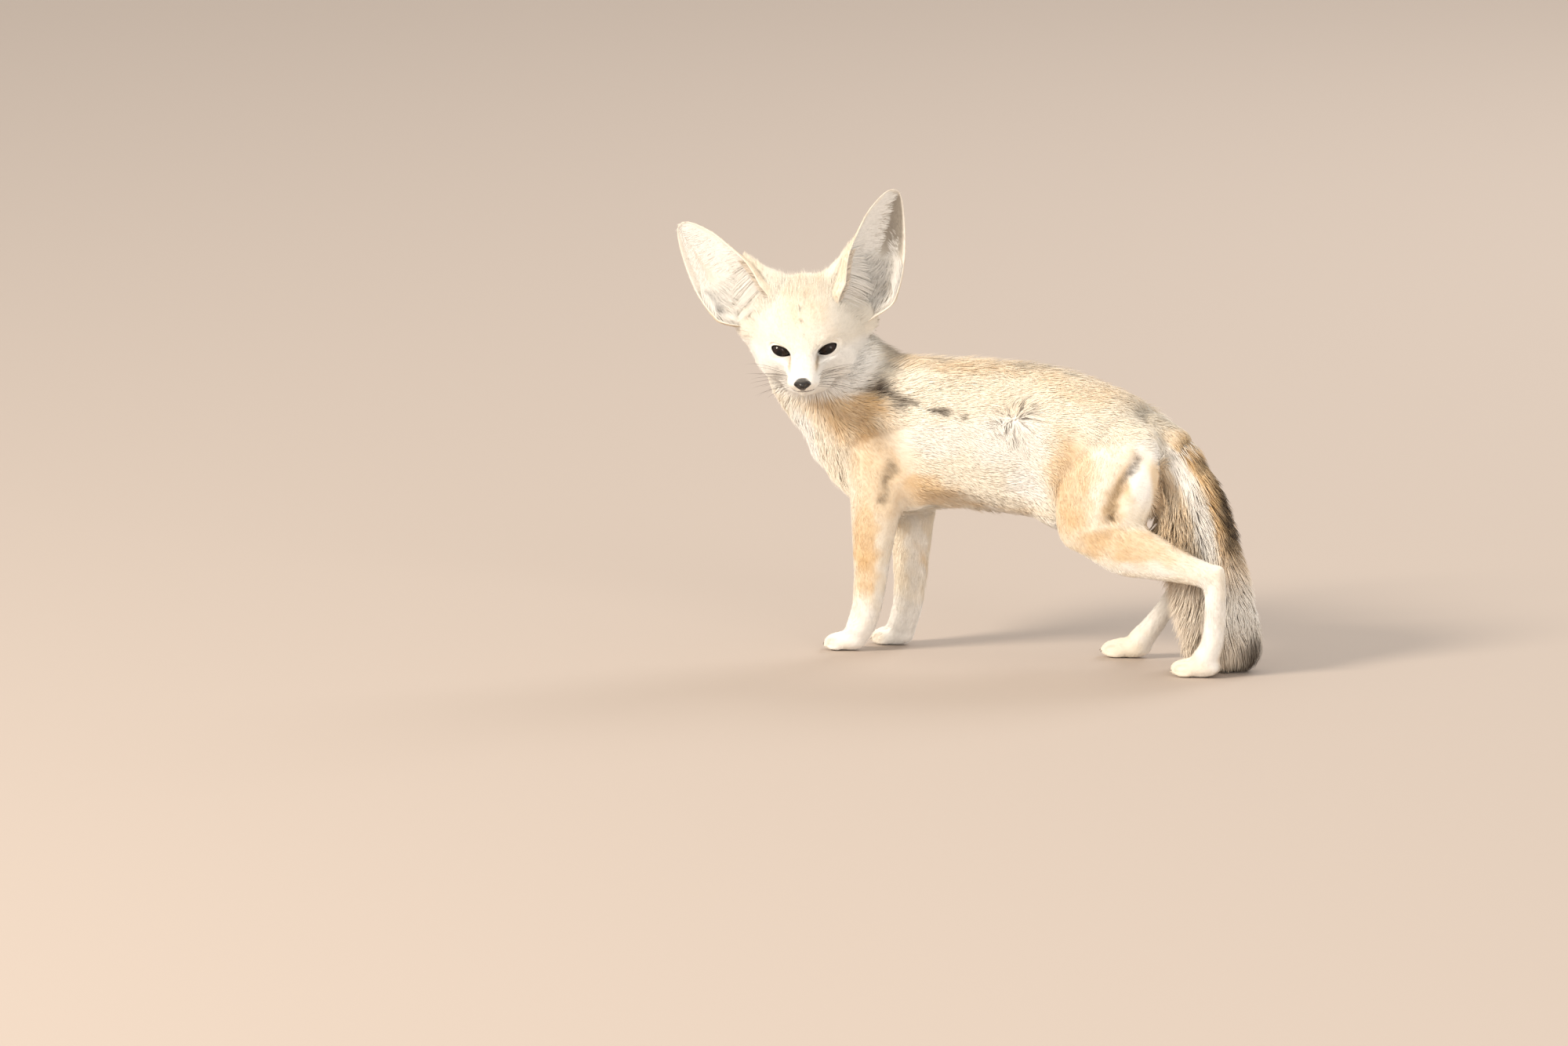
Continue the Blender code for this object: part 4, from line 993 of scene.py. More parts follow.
def tuft_pattern(rings):
    """The triangles of one tuft, closed at its root, and which of their corners are on its underside."""
    faces = [(2, 1, 0)]
    under = [False]
    for ring in range(rings - 1):
        for k in range(3):
            a, b = 3 * ring + k, 3 * ring + (k + 1) % 3
            faces += [(a, b, b + 3), (a, b + 3, a + 3)]
            under += [k == 0, k == 0]
    last = 3 * (rings - 1)
    faces += [(last + k, last + (k + 1) % 3, 3 * rings) for k in range(3)]
    under += [True, False, False]
    return np.array(faces), np.repeat(under, 3)


PIECE_LIMIT = 198000  # triangles
# The half widths of a tuft's rings from the root on, by how many rings it has
PROFILES = {1: (1.0,), 2: (0.8, 1.0), 3: (0.7, 1.0, 0.75), 4: (0.7, 1.0, 0.9, 0.6)}
# How far a tuft catches the light as a round hair, against as part of the coat
BODY_ROUNDNESS = 0.5
FACE_ROUNDNESS = 0.4
EAR_ROUNDNESS = 1.0
PATCH = (0.0012, 0.003)  # a tuft's patch in the unwrap: half its width, and its length
ROOT_DEPTH = 0.4  # millimetres under the skin
SMALL_LOCK = 14  # tufts
LARGE_LOCK = 90


def tuft_shapes(stations, normals, half_widths, roundness):
    """The points of tufts, the normals they are lit by and those of their undersides.

    A tuft takes its light as part of the coat or, where it stands off, as a round hair. Its underside has
    normals of its own, so that it isn't black where it is seen from below.
    """
    rings = len(stations) - 1
    verts = np.empty((stations.shape[1], 3 * rings + 1, 3))
    lit = np.empty_like(verts)
    below = np.empty_like(verts)
    stand = np.clip((unit(stations[-1] - stations[0]) * normals).sum(axis=1), 0, 1)
    roundness = (roundness + 6 * smooth_step(0.22, 0.55, stand))[:, None]
    for ring in range(rings):
        way = unit(stations[ring + 1] - stations[max(ring - 1, 0)])
        side = unit(np.cross(way, normals))
        top = np.cross(side, way)
        width = (half_widths * PROFILES[rings][ring])[:, None] * MM
        verts[:, 3 * ring] = stations[ring] + side * width
        verts[:, 3 * ring + 1] = stations[ring] - side * width
        verts[:, 3 * ring + 2] = stations[ring] + top * width * 0.8
        lit[:, 3 * ring] = unit(normals + (0.87 * side - 0.5 * top) * roundness)
        lit[:, 3 * ring + 1] = unit(normals - (0.87 * side + 0.5 * top) * roundness)
        lit[:, 3 * ring + 2] = unit(normals + top * roundness)
        below[:, 3 * ring : 3 * ring + 3] = -top[:, None]
    verts[:, -1] = stations[-1]
    lit[:, -1] = normals
    below[:, -1] = below[:, -2]
    return verts, lit, below


def tuft_patch(rings):
    """The places of a tuft's points in its patch of the unwrap."""
    patch = np.zeros((3 * rings + 1, 2))
    for ring in range(rings):
        for k in range(3):
            patch[3 * ring + k] = ((k - 1) * PATCH[0], (ring / rings - 0.5) * PATCH[1])
    patch[-1] = (0, PATCH[1] / 2)
    return patch


def hair(name, stations, normals, half_widths, layout, shades, finish, roundness):
    """Solid tapered tufts through their stations from root to tip, joined in pieces."""
    rings = len(stations) - 1
    count = stations.shape[1]
    pattern, under = tuft_pattern(rings)
    verts, lit, below = tuft_shapes(stations, normals, half_widths, roundness)
    points = verts.shape[1]
    patch = tuft_patch(rings)
    along = np.append(np.repeat(np.arange(rings) / rings, 3), 1.0)
    pieces = math.ceil(count / (PIECE_LIMIT // len(pattern)))
    for piece in range(pieces):
        part = slice(piece * count // pieces, (piece + 1) * count // pieces)
        here = verts[part].reshape(-1, 3)
        tufts = len(verts[part])
        faces = (np.arange(tufts)[:, None, None] * points + pattern[None]).reshape(-1)
        mesh = bpy.data.meshes.new(f"{name}_{piece + 1}")
        mesh.vertices.add(len(here))
        mesh.vertices.foreach_set("co", here.astype(np.float32).ravel())
        mesh.loops.add(len(faces))
        mesh.loops.foreach_set("vertex_index", faces.astype(np.int32))
        mesh.polygons.add(len(faces) // 3)
        mesh.polygons.foreach_set("loop_start", np.arange(0, len(faces), 3, dtype=np.int32))
        mesh.update(calc_edges=True)
        spots = (layout[part][:, None, :] + patch[None]).reshape(-1, 2)[faces]
        mesh.uv_layers.new(name="OFBake").data.foreach_set("uv", spots.astype(np.float32).ravel())
        for key, values in shades.items():
            data = np.repeat(values[part], points)
            mesh.attributes.new(key, "FLOAT", "POINT").data.foreach_set("value", data.astype(np.float32))
        data = np.tile(along, tufts)
        mesh.attributes.new("along", "FLOAT", "POINT").data.foreach_set("value", data.astype(np.float32))
        mesh.shade_smooth()
        corners = np.where(under[:, None], below[part][:, pattern.ravel()], lit[part][:, pattern.ravel()])
        mesh.normals_split_custom_set(corners.reshape(-1, 3).tolist())
        mesh.materials.append(finish)
        obj = bpy.data.objects.new(mesh.name, mesh)
        bpy.context.scene.collection.objects.link(obj)
        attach(obj, "root")


def gathered(roots, stations, share, every, draw):
    """Draws tufts together into locks: the further out, the more they lean to the nearest leader's."""
    leaders = draw.permutation(len(roots))[: max(1, len(roots) // every)]
    tree = KDTree(len(leaders))
    for k, leader in enumerate(leaders.tolist()):
        tree.insert(roots[leader], k)
    tree.balance()
    nearest = leaders[[tree.find(root)[1] for root in roots]]
    aside = roots - roots[nearest]
    made = []
    for k, station in enumerate(stations):
        out = (k + 1) / len(stations)
        aim = station[nearest] + (1 - 0.75 * out) * aside
        made.append(station + (out * share)[:, None] * (aim - station))
    return made


def bare_parts(points, lids):
    """1 where no hair grows: on the lids' rims, under the nose pad and right behind it."""
    face = head_frame(points)
    nose = np.linalg.norm((face - (40, 0, -13.0 - NOSE_DROP)) / (5.5, 5.6, 3.2), axis=1) < 1
    behind_nose = (face[:, 0] > 33.8) & (face[:, 2] > -13) & (np.abs(face[:, 1]) < 5.5)
    return ((lids < 1.2) | nose | behind_nose).astype(float)


def lid_places(points):
    """How far out from the nearer eye's middle points lie, 1 at the lids' opening and 9 at most."""
    lids = np.full(len(points), 9.0)
    for side in (1, -1):
        eye, size = eye_place(points, side)
        lids = np.minimum(lids, np.where(eye[:, 0] > -2, size, 9))
    return lids


def ear_feet(points, face, ears):
    """1 at the foot of an ear, down to 0 away from it."""
    found = np.zeros(len(face))
    near = np.flatnonzero((face[:, 2] > 4) & (face[:, 0] > -70) & (np.abs(face[:, 1]) > 14))
    for ear in ears:
        faces = [tuple(polygon.vertices) for polygon in ear.data.polygons]
        surface = BVHTree.FromPolygons(coordinates(ear).tolist(), faces)
        gap = np.array([surface.find_nearest(point)[3] for point in points[near].tolist()]) / MM
        found[near] = np.maximum(found[near], smooth_step(6, 1.5, gap))
    return found


def coat_shape(ground, ears):
    """What changes the tufts' sizes, as shares at the surface's points."""
    points = ground.points
    face = head_frame(points)
    body = body_frame(points)
    lids = lid_places(points)
    _, behind, distance = tail_place(body)
    under_tail = smooth_step(40, 30, distance) * smooth_step(-2, -9, behind)
    under_tail *= smooth_step(84, 100, body[:, 2]) * smooth_step(146, 130, body[:, 2])
    ruff = smooth_step(-12, -26, face[:, 0]) * smooth_step(6, -6, face[:, 2])
    return {
        "muzzle": smooth_step(-14, 14, face[:, 0]),
        "ruff": ruff * smooth_step(20, 34, np.abs(face[:, 1])),
        "lids": lids,
        "under_tail": under_tail,
        "ear_foot": ear_feet(points, face, ears),
    }


def tuft_sizes(shape, mix, roots, normals, draw, in_tail):
    """The length, half width and height of each tuft."""
    count = len(roots)
    length, half_width, height = (mix @ np.array([COAT[region][1:4] for region in REGIONS])).T
    share = dict(zip(REGIONS, mix.T))
    muzzle, lids, by_ear = shape["muzzle"], shape["lids"], shape["ear_foot"]
    cheek = shape["ruff"] * share["head"]
    rim = 0.45 + 0.55 * smooth_step(1.1, 1.9, lids)
    guard = (draw.random(count) < 0.14) * (1 - muzzle)
    body = body_frame(roots)
    swell = 1 + 0.12 * waves(body, 16, SEED + 41)
    length = length * (1 - 0.45 * muzzle) * (1 + 1.2 * cheek) * rim * swell * draw.uniform(0.75, 1.2, count)
    length = length * (1 + 0.35 * guard)
    half_width = half_width * (1 - 0.15 * muzzle) * (1 - 0.3 * guard) * draw.uniform(0.75, 1.2, count)
    height = height * (1 - 0.45 * muzzle) * (1 + 0.9 * cheek) * rim * swell * draw.uniform(0.6, 1.15, count)
    on_top = 0.6 + 0.7 * smooth_step(0.2, 0.8, normals[:, 2])
    height = height * (1 + guard * on_top) + 6 * shape["under_tail"]
    if in_tail:
        along, outer, _ = tail_place(body)
        crook = 13 * bump(along - 0.36, 0.09)
        height = height + smooth_step(0, -12, outer) * (9 * smooth_step(0.24, 0.42, along) + crook)
    fringe = 0.6 * smooth_step(-0.45, -0.9, normals[:, 2]) * share["torso"]
    rump = bump(np.linalg.norm(body - (98, 0, 186), axis=1), 26) * (1 + guard)
    crease = smooth_step(22, 9, np.hypot(body[:, 0] - 126, body[:, 2] - 146))
    height = height * (1 + fringe + rump) * (1 - 0.75 * crease) + 2 * by_ear
    length = length * (1 + 0.5 * by_ear)
    face = head_frame(roots)
    crown = smooth_step(30, 37, face[:, 2]) * smooth_step(24, 12, np.abs(face[:, 1])) * share["head"]
    height = height * (1 + 1.8 * crown)
    height = np.maximum(height, 0.8 * smooth_step(1.3, 1.7, lids) * smooth_step(2.9, 2.4, lids))
    return length * (1 + 0.9 * crown), half_width, height


def grow_coat(ground, shares, ears, finish):
    """The coat of every region of the body, along its lie and over the skin's form."""
    shape = coat_shape(ground, ears)
    bald = bare_parts(ground.points, shape["lids"])
    for index, region in enumerate(REGIONS):
        draw = np.random.default_rng(SEED + index)
        count, _, _, _, rings, clump, slot = COAT[region]
        weights = shares[:, index] * (1 - bald)
        if region == "head":
            weights = weights * (1 + 1.8 * shape["muzzle"])
        triangle, place = ground.scatter(count, weights, draw)
        roots = ground.at(triangle, place, ground.points)
        normals = unit(ground.at(triangle, place, ground.normals))
        mix = ground.at(triangle, place, shares)
        mix /= mix.sum(axis=1, keepdims=True)
        at_roots = {key: ground.at(triangle, place, values) for key, values in shape.items()}
        length, half_width, height = tuft_sizes(at_roots, mix, roots, normals, draw, region == "tail")
        ways = lie(roots, normals)
        stray = 0.28 * waves(body_frame(roots), 22, SEED + 40) + draw.normal(0, 0.11, count)
        ways = turned(ways, normals, stray)
        stations = [roots - normals * ROOT_DEPTH * MM]
        here = roots
        going = ways
        for ring in range(1, rings + 1):
            there = here + going * (length / rings)[:, None] * MM
            here, up = ground.near(there)
            going = unit(going - up * (going * up).sum(axis=1, keepdims=True))
            share = (ring / rings) ** 0.75
            stations.append(here + up * (height * share)[:, None] * MM)
        pull = np.clip(clump * draw.uniform(0.5, 1.2, count), 0, 0.85)
        stations[1:] = gathered(roots, stations[1:], pull, SMALL_LOCK, draw)
        stations[1:] = gathered(roots, stations[1:], 0.6 * pull, LARGE_LOCK, draw)
        for station in stations:
            station[:, 2] = np.maximum(station[:, 2], 2 * FLOOR_GAP)
        shades = markings(roots + ways * (0.55 * length)[:, None] * MM)
        shades["tone"] = draw.random(count)
        shades["golden"] = np.clip(shades["golden"] + 0.07 * draw.normal(size=count), 0, 1)
        layout = np.einsum("nk,nkj->nj", place, ground.layout[triangle])
        round_share = FACE_ROUNDNESS if region in ("head", "paw") else BODY_ROUNDNESS
        under = smooth_step(0.1, -0.8, normals[:, 2])[:, None]
        facing = unit(normals + under * (0, 0, 0.75))
        name = f"coat_{region}"
        hair(name, np.array(stations), facing, half_width, layout, shades, finish, round_share)


def set_marks(obj, values):
    for key, data in values.items():
        obj.data.attributes.new(key, "FLOAT", "POINT").data.foreach_set("value", data.astype(np.float32))


# Eyes


def eye_matrix(side):
    """An eye's frame: X looks out, Y runs from the inner to the outer corner on the left eye."""
    place = Matrix.Translation(Vector((EYE_FORWARD, EYE_APART * side, EYE_UP)) * MM)
    gaze = Matrix.Rotation(math.radians(EYE_TURN * side), 4, "Z")
    slant = Matrix.Rotation(math.radians(EYE_SLANT * side), 4, "X")
    return HEAD @ place @ gaze @ slant


def make_eye(side, name):
    """A wet dark eyeball, its cornea a little fuller than the ball, each point marked for the iris."""
    bpy.ops.object.select_all(action="DESELECT")
    bpy.ops.mesh.primitive_uv_sphere_add(segments=64, ring_count=40, radius=EYE_RADIUS * MM)
    ball = bpy.context.active_object
    ball.name = name
    ball.data.transform(Matrix.Rotation(math.radians(90), 4, "Y"))
    points = coordinates(ball) / MM
    off = np.degrees(np.arccos(np.clip(points[:, 0] / EYE_RADIUS, -1, 1)))
    points *= (1 + 0.05 * smooth_step(52, 20, off))[:, None]
    set_coordinates(ball, points * MM)
    set_marks(ball, {"off": off / 90})
    ball.data.transform(eye_matrix(side))
    ball.data.shade_smooth()
    return ball


def eye_material():
    """A wet cornea over a near-black brown iris, as the eye of a night hunter looks by day."""
    made, tree, shader = material(
        "wet_eye", Roughness=0.2, Specular_IOR_Level=0.15, Coat_Weight=1.0, Coat_Roughness=0.03, Coat_IOR=1.3
    )
    off = add(tree, "ShaderNodeAttribute", {"attribute_name": "off"}).outputs["Fac"]
    pupil = add(tree, "ShaderNodeValToRGB", {"stops": ((0.16, 0.0), (0.19, 1.0))}, Fac=off).outputs["Color"]
    edge = add(tree, "ShaderNodeValToRGB", {"stops": ((0.48, 0.0), (0.58, 1.0))}, Fac=off).outputs["Color"]
    iris = add(tree, "ShaderNodeMix", COLOURS, n0=pupil, n6=linear("#040303"), n7=linear("#22130C"))
    iris = add(tree, "ShaderNodeMix", COLOURS, n0=edge, n6=iris.outputs[2], n7=linear("#080605"))
    tree.links.new(iris.outputs[2], shader.inputs["Base Color"])
    return made


def ring_tube(name, centres, ups, radii, closed=True, around=8):
    """A tube with the given centres and radii, a little flattened along the ups."""
    count = len(centres)
    points = []
    for k in range(count):
        before = centres[(k - 1) % count] if closed or k else centres[k]
        after = centres[(k + 1) % count] if closed or k < count - 1 else centres[k]
        way = unit(after - before)
        side = unit(np.cross(way, ups[k]))
        top = np.cross(side, way)
        for step in range(around):
            turn = math.tau * step / around
            points.append(centres[k] + radii[k] * (side * math.cos(turn) + 0.8 * top * math.sin(turn)))
    obj = turned_outwards(object_from(name, points, tube_faces(count, around, closed)))
    obj.data.shade_smooth()
    return obj


def make_lid_rims(side, name):
    """The bare dark rim of the lids, drawn out into the tear duct at the inner corner."""
    matrix = eye_matrix(side)
    centres = []
    ups = []
    radii = []
    count = 72
    for step in range(count):
        turn = math.tau * step / count
        y, z = almond(turn)
        y *= side
        corner = max(0.0, -math.cos(turn)) ** 7
        reach = EYE_RADIUS + 0.45
        x = math.sqrt(max(reach**2 - y**2 - z**2, 6.0)) + 0.1 * corner
        centres.append(np.array(matrix @ (Vector((x, y, z)) * MM)))
        ups.append(np.array(matrix.to_3x3() @ Vector((x, y, z)).normalized()))
        radii.append((0.5 + 0.25 * max(0.0, math.sin(turn)) + 0.2 * corner) * MM)
    return ring_tube(name, centres, ups, radii)


# Ears


EAR_RISE = (-0.03, 0.13)  # where along its length an ear comes up out of the head's skin
EAR_SINK = 0.5  # how far an ear's skin lies inside its table's surface
EAR_WIDEST = 23.5


def ear_frame(side):
    """An ear's root, its reach, the way across it and the way it opens, in the head's frame."""
    root, reach, opening = EARS[side]
    reach = Vector(reach)
    axis = reach.normalized()
    opening = Vector(opening)
    opening = (opening - axis * opening.dot(axis)).normalized()
    across = axis.cross(opening)
    if across.y * side < 0:
        across = -across
    return np.array(root, float), np.array(reach), np.array(across), np.array(opening)


EAR_ROWS = spline(EAR_SHAPE, 200)
EAR_ROWS = EAR_ROWS[np.argsort(EAR_ROWS[:, 0])]


def ear_points(side, along, turn, inset, head=None):
    """Points of an ear's cup in the frame, its base drawn into the head's skin where that is given.

    turn runs round the cup from -1 at the inner rim to 1 at the outer one.
    """
    root, reach, across, opening = ear_frame(side)
    along = np.asarray(along, float)
    half_width, arc, flat, bow, out = (np.interp(along, EAR_ROWS[:, 0], EAR_ROWS[:, c]) for c in range(1, 6))
    arc = np.radians(arc)
    radius = half_width / np.sin(np.minimum(arc, math.pi / 2))
    x = (radius - inset) * np.sin(arc * turn) + out
    y = -(radius * flat - inset) * np.cos(arc * turn) + bow
    points = head_place(root + reach * along[:, None] + across * x[:, None] + opening * y[:, None])
    if head is not None:
        low = np.flatnonzero(along < EAR_RISE[1])
        places, normals = head.near(points[low])
        height = ((points[low] - places) * normals).sum(axis=1) / MM
        hold = (1 - smooth_step(*EAR_RISE, along[low])) * smooth_step(19, 12, np.abs(height))
        points[low] += normals * (hold * (-1.2 - height))[:, None] * MM
    return points


def ear_start(turn):
    """Where an ear comes out of the head: lower at its back and outer side than at its inner rim."""
    return -0.17 + 0.12 * smooth_step(-0.4, -0.85, turn)


def ear_thickness(along, turn):
    """How thick an ear's skin is in millimetres, thinner to the tip and at the rim."""
    rim = 0.35 + 0.65 * np.minimum(1, np.minimum(5 * (1 - np.abs(turn)), 9 * (1 - along)))
    return EAR_THICKNESS * (1.25 - 0.5 * along) * rim


def make_ear(side, name, head, ups=64, rounds=44):
    """A thin cup of skin, closed round its rim, with each point's place on the ear."""
    along, turn = np.meshgrid(np.linspace(0, 1, ups + 1), np.linspace(-1, 1, rounds + 1), indexing="ij")
    along, turn = along.ravel(), turn.ravel()
    along = ear_start(turn) + (0.998 - ear_start(turn)) * along
    walls = [
        ear_points(side, along, turn, EAR_SINK, head),
        ear_points(side, along, turn, ear_thickness(along, turn) + EAR_SINK, head),
    ]
    size = (ups + 1) * (rounds + 1)
    faces = []
    for i in range(ups):
        for j in range(rounds):
            a = i * (rounds + 1) + j
            b, c, d = a + 1, a + rounds + 2, a + rounds + 1
            faces += [(a, b, c, d), (size + a, size + d, size + c, size + b)]
    for i in range(ups):
        for j in (0, rounds):
            a = i * (rounds + 1) + j
            d = a + rounds + 1
            faces.append((a, d, size + d, size + a) if j == 0 else (a, size + a, size + d, d))
    for j in range(rounds):
        for i in (0, ups):
            a = i * (rounds + 1) + j
            edge = (a, size + a, size + a + 1, a + 1)
            faces.append(edge if i == 0 else (a, a + 1, size + a + 1, size + a))
    ear = turned_outwards(object_from(name, np.vstack(walls), faces))
    ear.data.shade_smooth()
    return ear, np.tile(along, 2), np.tile(turn, 2), np.repeat((0.0, 1.0), size)


def ear_marks(side, along, turn, inside):
    """An ear's colours: cream outside with a golden back, white inside, grey-brown painted shade in the
    hollow, and darker at the foot of the cup.
    """
    # hollow: painted shade in the cup's hollow, stronger in the left ear, whose inner rim shades it from the
    # light
    hollow = smooth_step(-0.3, 0.3, turn) * smooth_step(1.0, 0.85, turn) * smooth_step(0.25, 0.6, along)
    hollow = hollow * smooth_step(1.0, 0.93, along) * (0.66 if side > 0 else 0.15)
    back = smooth_step(-0.75, -0.4, turn) * smooth_step(0.5, 0.1, along)
    foot = smooth_step(0.12, 0.02, along) * smooth_step(0.9, 0.6, np.abs(turn))
    golden = np.where(inside > 0.5, 0.10, 0.25 + 0.2 * back)
    white = np.where(inside > 0.5, 0.55 * (1 - hollow), 0.1)
    dark = np.where(inside > 0.5, 0, 0.2 * back)
    brown_and_shade = np.where(inside > 0.5, np.maximum(hollow, 0.6 * foot), 0)
    return {"golden": golden, "white": white, "dark": dark, "brown_and_shade": brown_and_shade}


# Hair of an ear: its tufts, along from and to, turn from and to, whether inside the cup, length, half width,
# lift and rings. Back and hollow are the short coat of both faces, and the long hair reaches across the cup.
EAR_HAIR = {
    "back": (9500, (-0.165, 0.99), (-1, 1), 0, 4.8, 0.2, 0.10, 1),
    "hollow": (5000, (0.0, 0.97), (-1, 1), 1, 4.0, 0.17, 0.10, 1),
    "long": (3700, (0.02, 0.95), (-0.99, 0.1), 1, 24.0, 0.14, 0.13, 3),
    "outer": (1800, (0.04, 0.97), (0.5, 0.99), 1, 6.0, 0.14, 0.12, 2),
    "fringe": (700, (0.02, 0.4), (-1, -0.93), 1, 4.5, 0.16, 0.35, 2),
    "foot": (700, (0.02, 0.12), (-0.8, 0.8), 1, 8.0, 0.17, 0.25, 2),
    "lobe": (1900, (-0.04, 0.34), (-0.1, 0.98), 1, 11.0, 0.16, 0.22, 2),
}


def ear_width(along):
    """An ear's width as a share of its greatest."""
    return np.interp(along, EAR_ROWS[:, 0], EAR_ROWS[:, 1]) / EAR_WIDEST


def ear_ways(word, side, along, up, to_tip, to_outer):
    """The directions in which an ear's hair of a kind grows."""
    lean = -0.15 + 0.5 * smooth_step(0.1, 0.5, along) + 1.1 * smooth_step(0.6, 1.0, along)
    if word == "long":
        across = np.array(HEAD.to_3x3() @ Vector(ear_frame(side)[2]))
        level = unit(across - up * (up @ across)[:, None] * 0.55)
        return unit(0.55 * to_outer + level + lean[:, None] * to_tip)
    if word == "outer":
        return unit(-to_outer + (0.5 + lean)[:, None] * to_tip)
    if word in ("foot", "lobe"):
        return unit(to_tip + 0.3 * to_outer + 0.3 * up)
    if word == "fringe":
        return unit(0.2 * to_outer + to_tip + 0.7 * up)
    return to_tip


def ear_hair_marks(word, side, along, turn, inside, draw):
    """The colours of an ear's hair of a kind."""
    count = len(along)
    shades = ear_marks(side, along, turn, np.full(count, float(inside)))
    if word in ("long", "outer", "lobe"):
        shades = {key: np.zeros(count) for key in shades}
        shades["white"] = np.full(count, 0.95)
    if word == "fringe":
        shades["golden"] = np.full(count, 0.9)
        shades["brown_and_shade"] = 0.5 * draw.random(count)
    if word == "foot":
        shades["golden"] = np.full(count, 0.25)
        shades["dark"] = 0.7 * (draw.random(count) < 0.2)
        shades["brown_and_shade"] = np.full(count, 0.1)
    shades["tone"] = draw.random(count)
    return shades


def grow_ear_coat(side, name, ear, head, finish):
    """Short hair on the back and rims, and long hair across the cup from its inner rim."""
    ground = Ground(ear)
    draw = np.random.default_rng(SEED + 60 + side)
    opening = np.array(HEAD.to_3x3() @ Vector(ear_frame(side)[3]))
    for word, (count, alongs, turns, inside, length, half_width, lift, rings) in EAR_HAIR.items():
        along = draw.uniform(*alongs, count * 2)
        along = along[draw.random(count * 2) < ear_width(along) * 1.02][:count]
        if word == "outer" and side > 0:
            along = along[draw.random(len(along)) < smooth_step(0.66, 0.36, along)]
        count = len(along)
        turn = draw.uniform(*turns, count)
        if word == "long":
            turn = -0.95 + 1.06 * draw.random(count) ** 1.9
        if word in ("back", "hollow"):
            along = np.maximum(along, ear_start(turn) + 0.01)
        inset = EAR_SINK + inside * ear_thickness(along, turn)
        roots = ear_points(side, along, turn, inset, head)
        spots, up = ground.near(roots)
        to_tip = unit(ear_points(side, along + 0.02, turn, inset, head) - roots)
        to_outer = unit(ear_points(side, along, turn + 0.02, inset, head) - roots)
        ways = ear_ways(word, side, along, up, to_tip, to_outer)
        stray = draw.normal(0, 0.10, count) + 0.16 * waves(body_frame(roots), 9, SEED + 70)
        ways = turned(ways, up, stray)
        size = length * (0.3 + 0.7 * ear_width(along)) * draw.uniform(0.65, 1.15, count)
        if word == "long":
            size *= (1 - 0.35 * (turn + 0.99)) * (1 + 0.35 * smooth_step(0.5, 0.2, along))
            if side > 0:
                size *= 1 - draw.uniform(0.05, 0.6, count) * smooth_step(0.35, 0.7, along)
        stations = [roots - up * 0.3 * MM]
        for ring in range(1, rings + 1):
            out = ring / rings
            rise, drop = lift, 0.0
            if word == "long":
                rise, drop = lift * (1 - 0.5 * out), -0.10 * out * out
            stations.append(roots + (ways * out + up * rise * out + to_tip * drop) * size[:, None] * MM)
        amount = np.full(count, {"long": 0.5, "foot": 0.4}.get(word, 0.15))
        stations[1:] = gathered(roots, stations[1:], amount, 8, draw)
        shades = ear_hair_marks(word, side, along, turn, inside, draw)
        layout = ear_layout(ground, spots)
        widths = half_width * draw.uniform(0.8, 1.2, count)
        share = 2.5 * smooth_step(0.6, 0.95, np.abs(turn)) if word == "back" else np.full(count, 2.5)
        facing = unit(up + share[:, None] * opening)
        hair(
            f"coat_{name}_{word}", np.array(stations), facing, widths, layout, shades, finish,
            FACE_ROUNDNESS if inside else EAR_ROUNDNESS,
        )


def ear_layout(ground, spots):
    """The unwrap's places of points on a ground."""
    layout = np.empty((len(spots), 2))
    for k, spot in enumerate(spots.tolist()):
        layout[k] = ground.layout[ground.tree.find_nearest(spot)[2]].mean(axis=0)
    return layout


# Nose, mouth, whiskers and claws


# The nose pad's swellings: place and radii
NOSE_SWELLINGS = [
    ((38.5, 0, -13.0), (5.0, 6.3, 2.9)),
    ((40.5, 0, -13.3), (4.2, 4.7, 2.9)),
    ((38.5, 0, -15.6), (3.6, 2.6, 2.2)),
]


def make_nose():
    """The bare nose pad with its nostrils, from three swellings."""
    made = []
    for place, radii in NOSE_SWELLINGS:
        bpy.ops.mesh.primitive_uv_sphere_add(segments=40, ring_count=24, radius=MM)
        ball = bpy.context.active_object
        ball.data.transform(Matrix.Translation(Vector(place) * MM) @ Matrix.Diagonal(Vector(radii)).to_4x4())
        made.append(ball)
    bpy.ops.object.select_all(action="DESELECT")
    for ball in made:
        ball.select_set(True)
    bpy.context.view_layer.objects.active = made[0]
    bpy.ops.object.join()
    pad = bpy.context.active_object
    pad.name = "nose_pad"
    remeshed(pad, 0.3)
    here = spread(coordinates(pad), edges(pad), 12) / MM
    for side in (1, -1):
        away = (here - (43.2, 3.3 * side, -13.2)) / (2.6, 1.9, 1.35)
        here[:, 0] -= 2.2 * np.exp(-((away**2).sum(axis=1)) * 1.1)
        slit = np.exp(-(((here[:, 2] + 14.2) / 0.55) ** 2) - ((np.abs(here[:, 1]) - 5.6) / 1.5) ** 2)
        here[:, 0] -= 0.5 * slit
    groove = bump(here[:, 1], 0.5) * smooth_step(-13.0, -15.0, here[:, 2])
    here[:, 0] -= 0.8 * groove
    set_coordinates(pad, here * MM)
    pad.data.transform(HEAD @ Matrix.Translation((0, 0, -NOSE_DROP * MM)))
    pad.data.shade_smooth()
    return pad


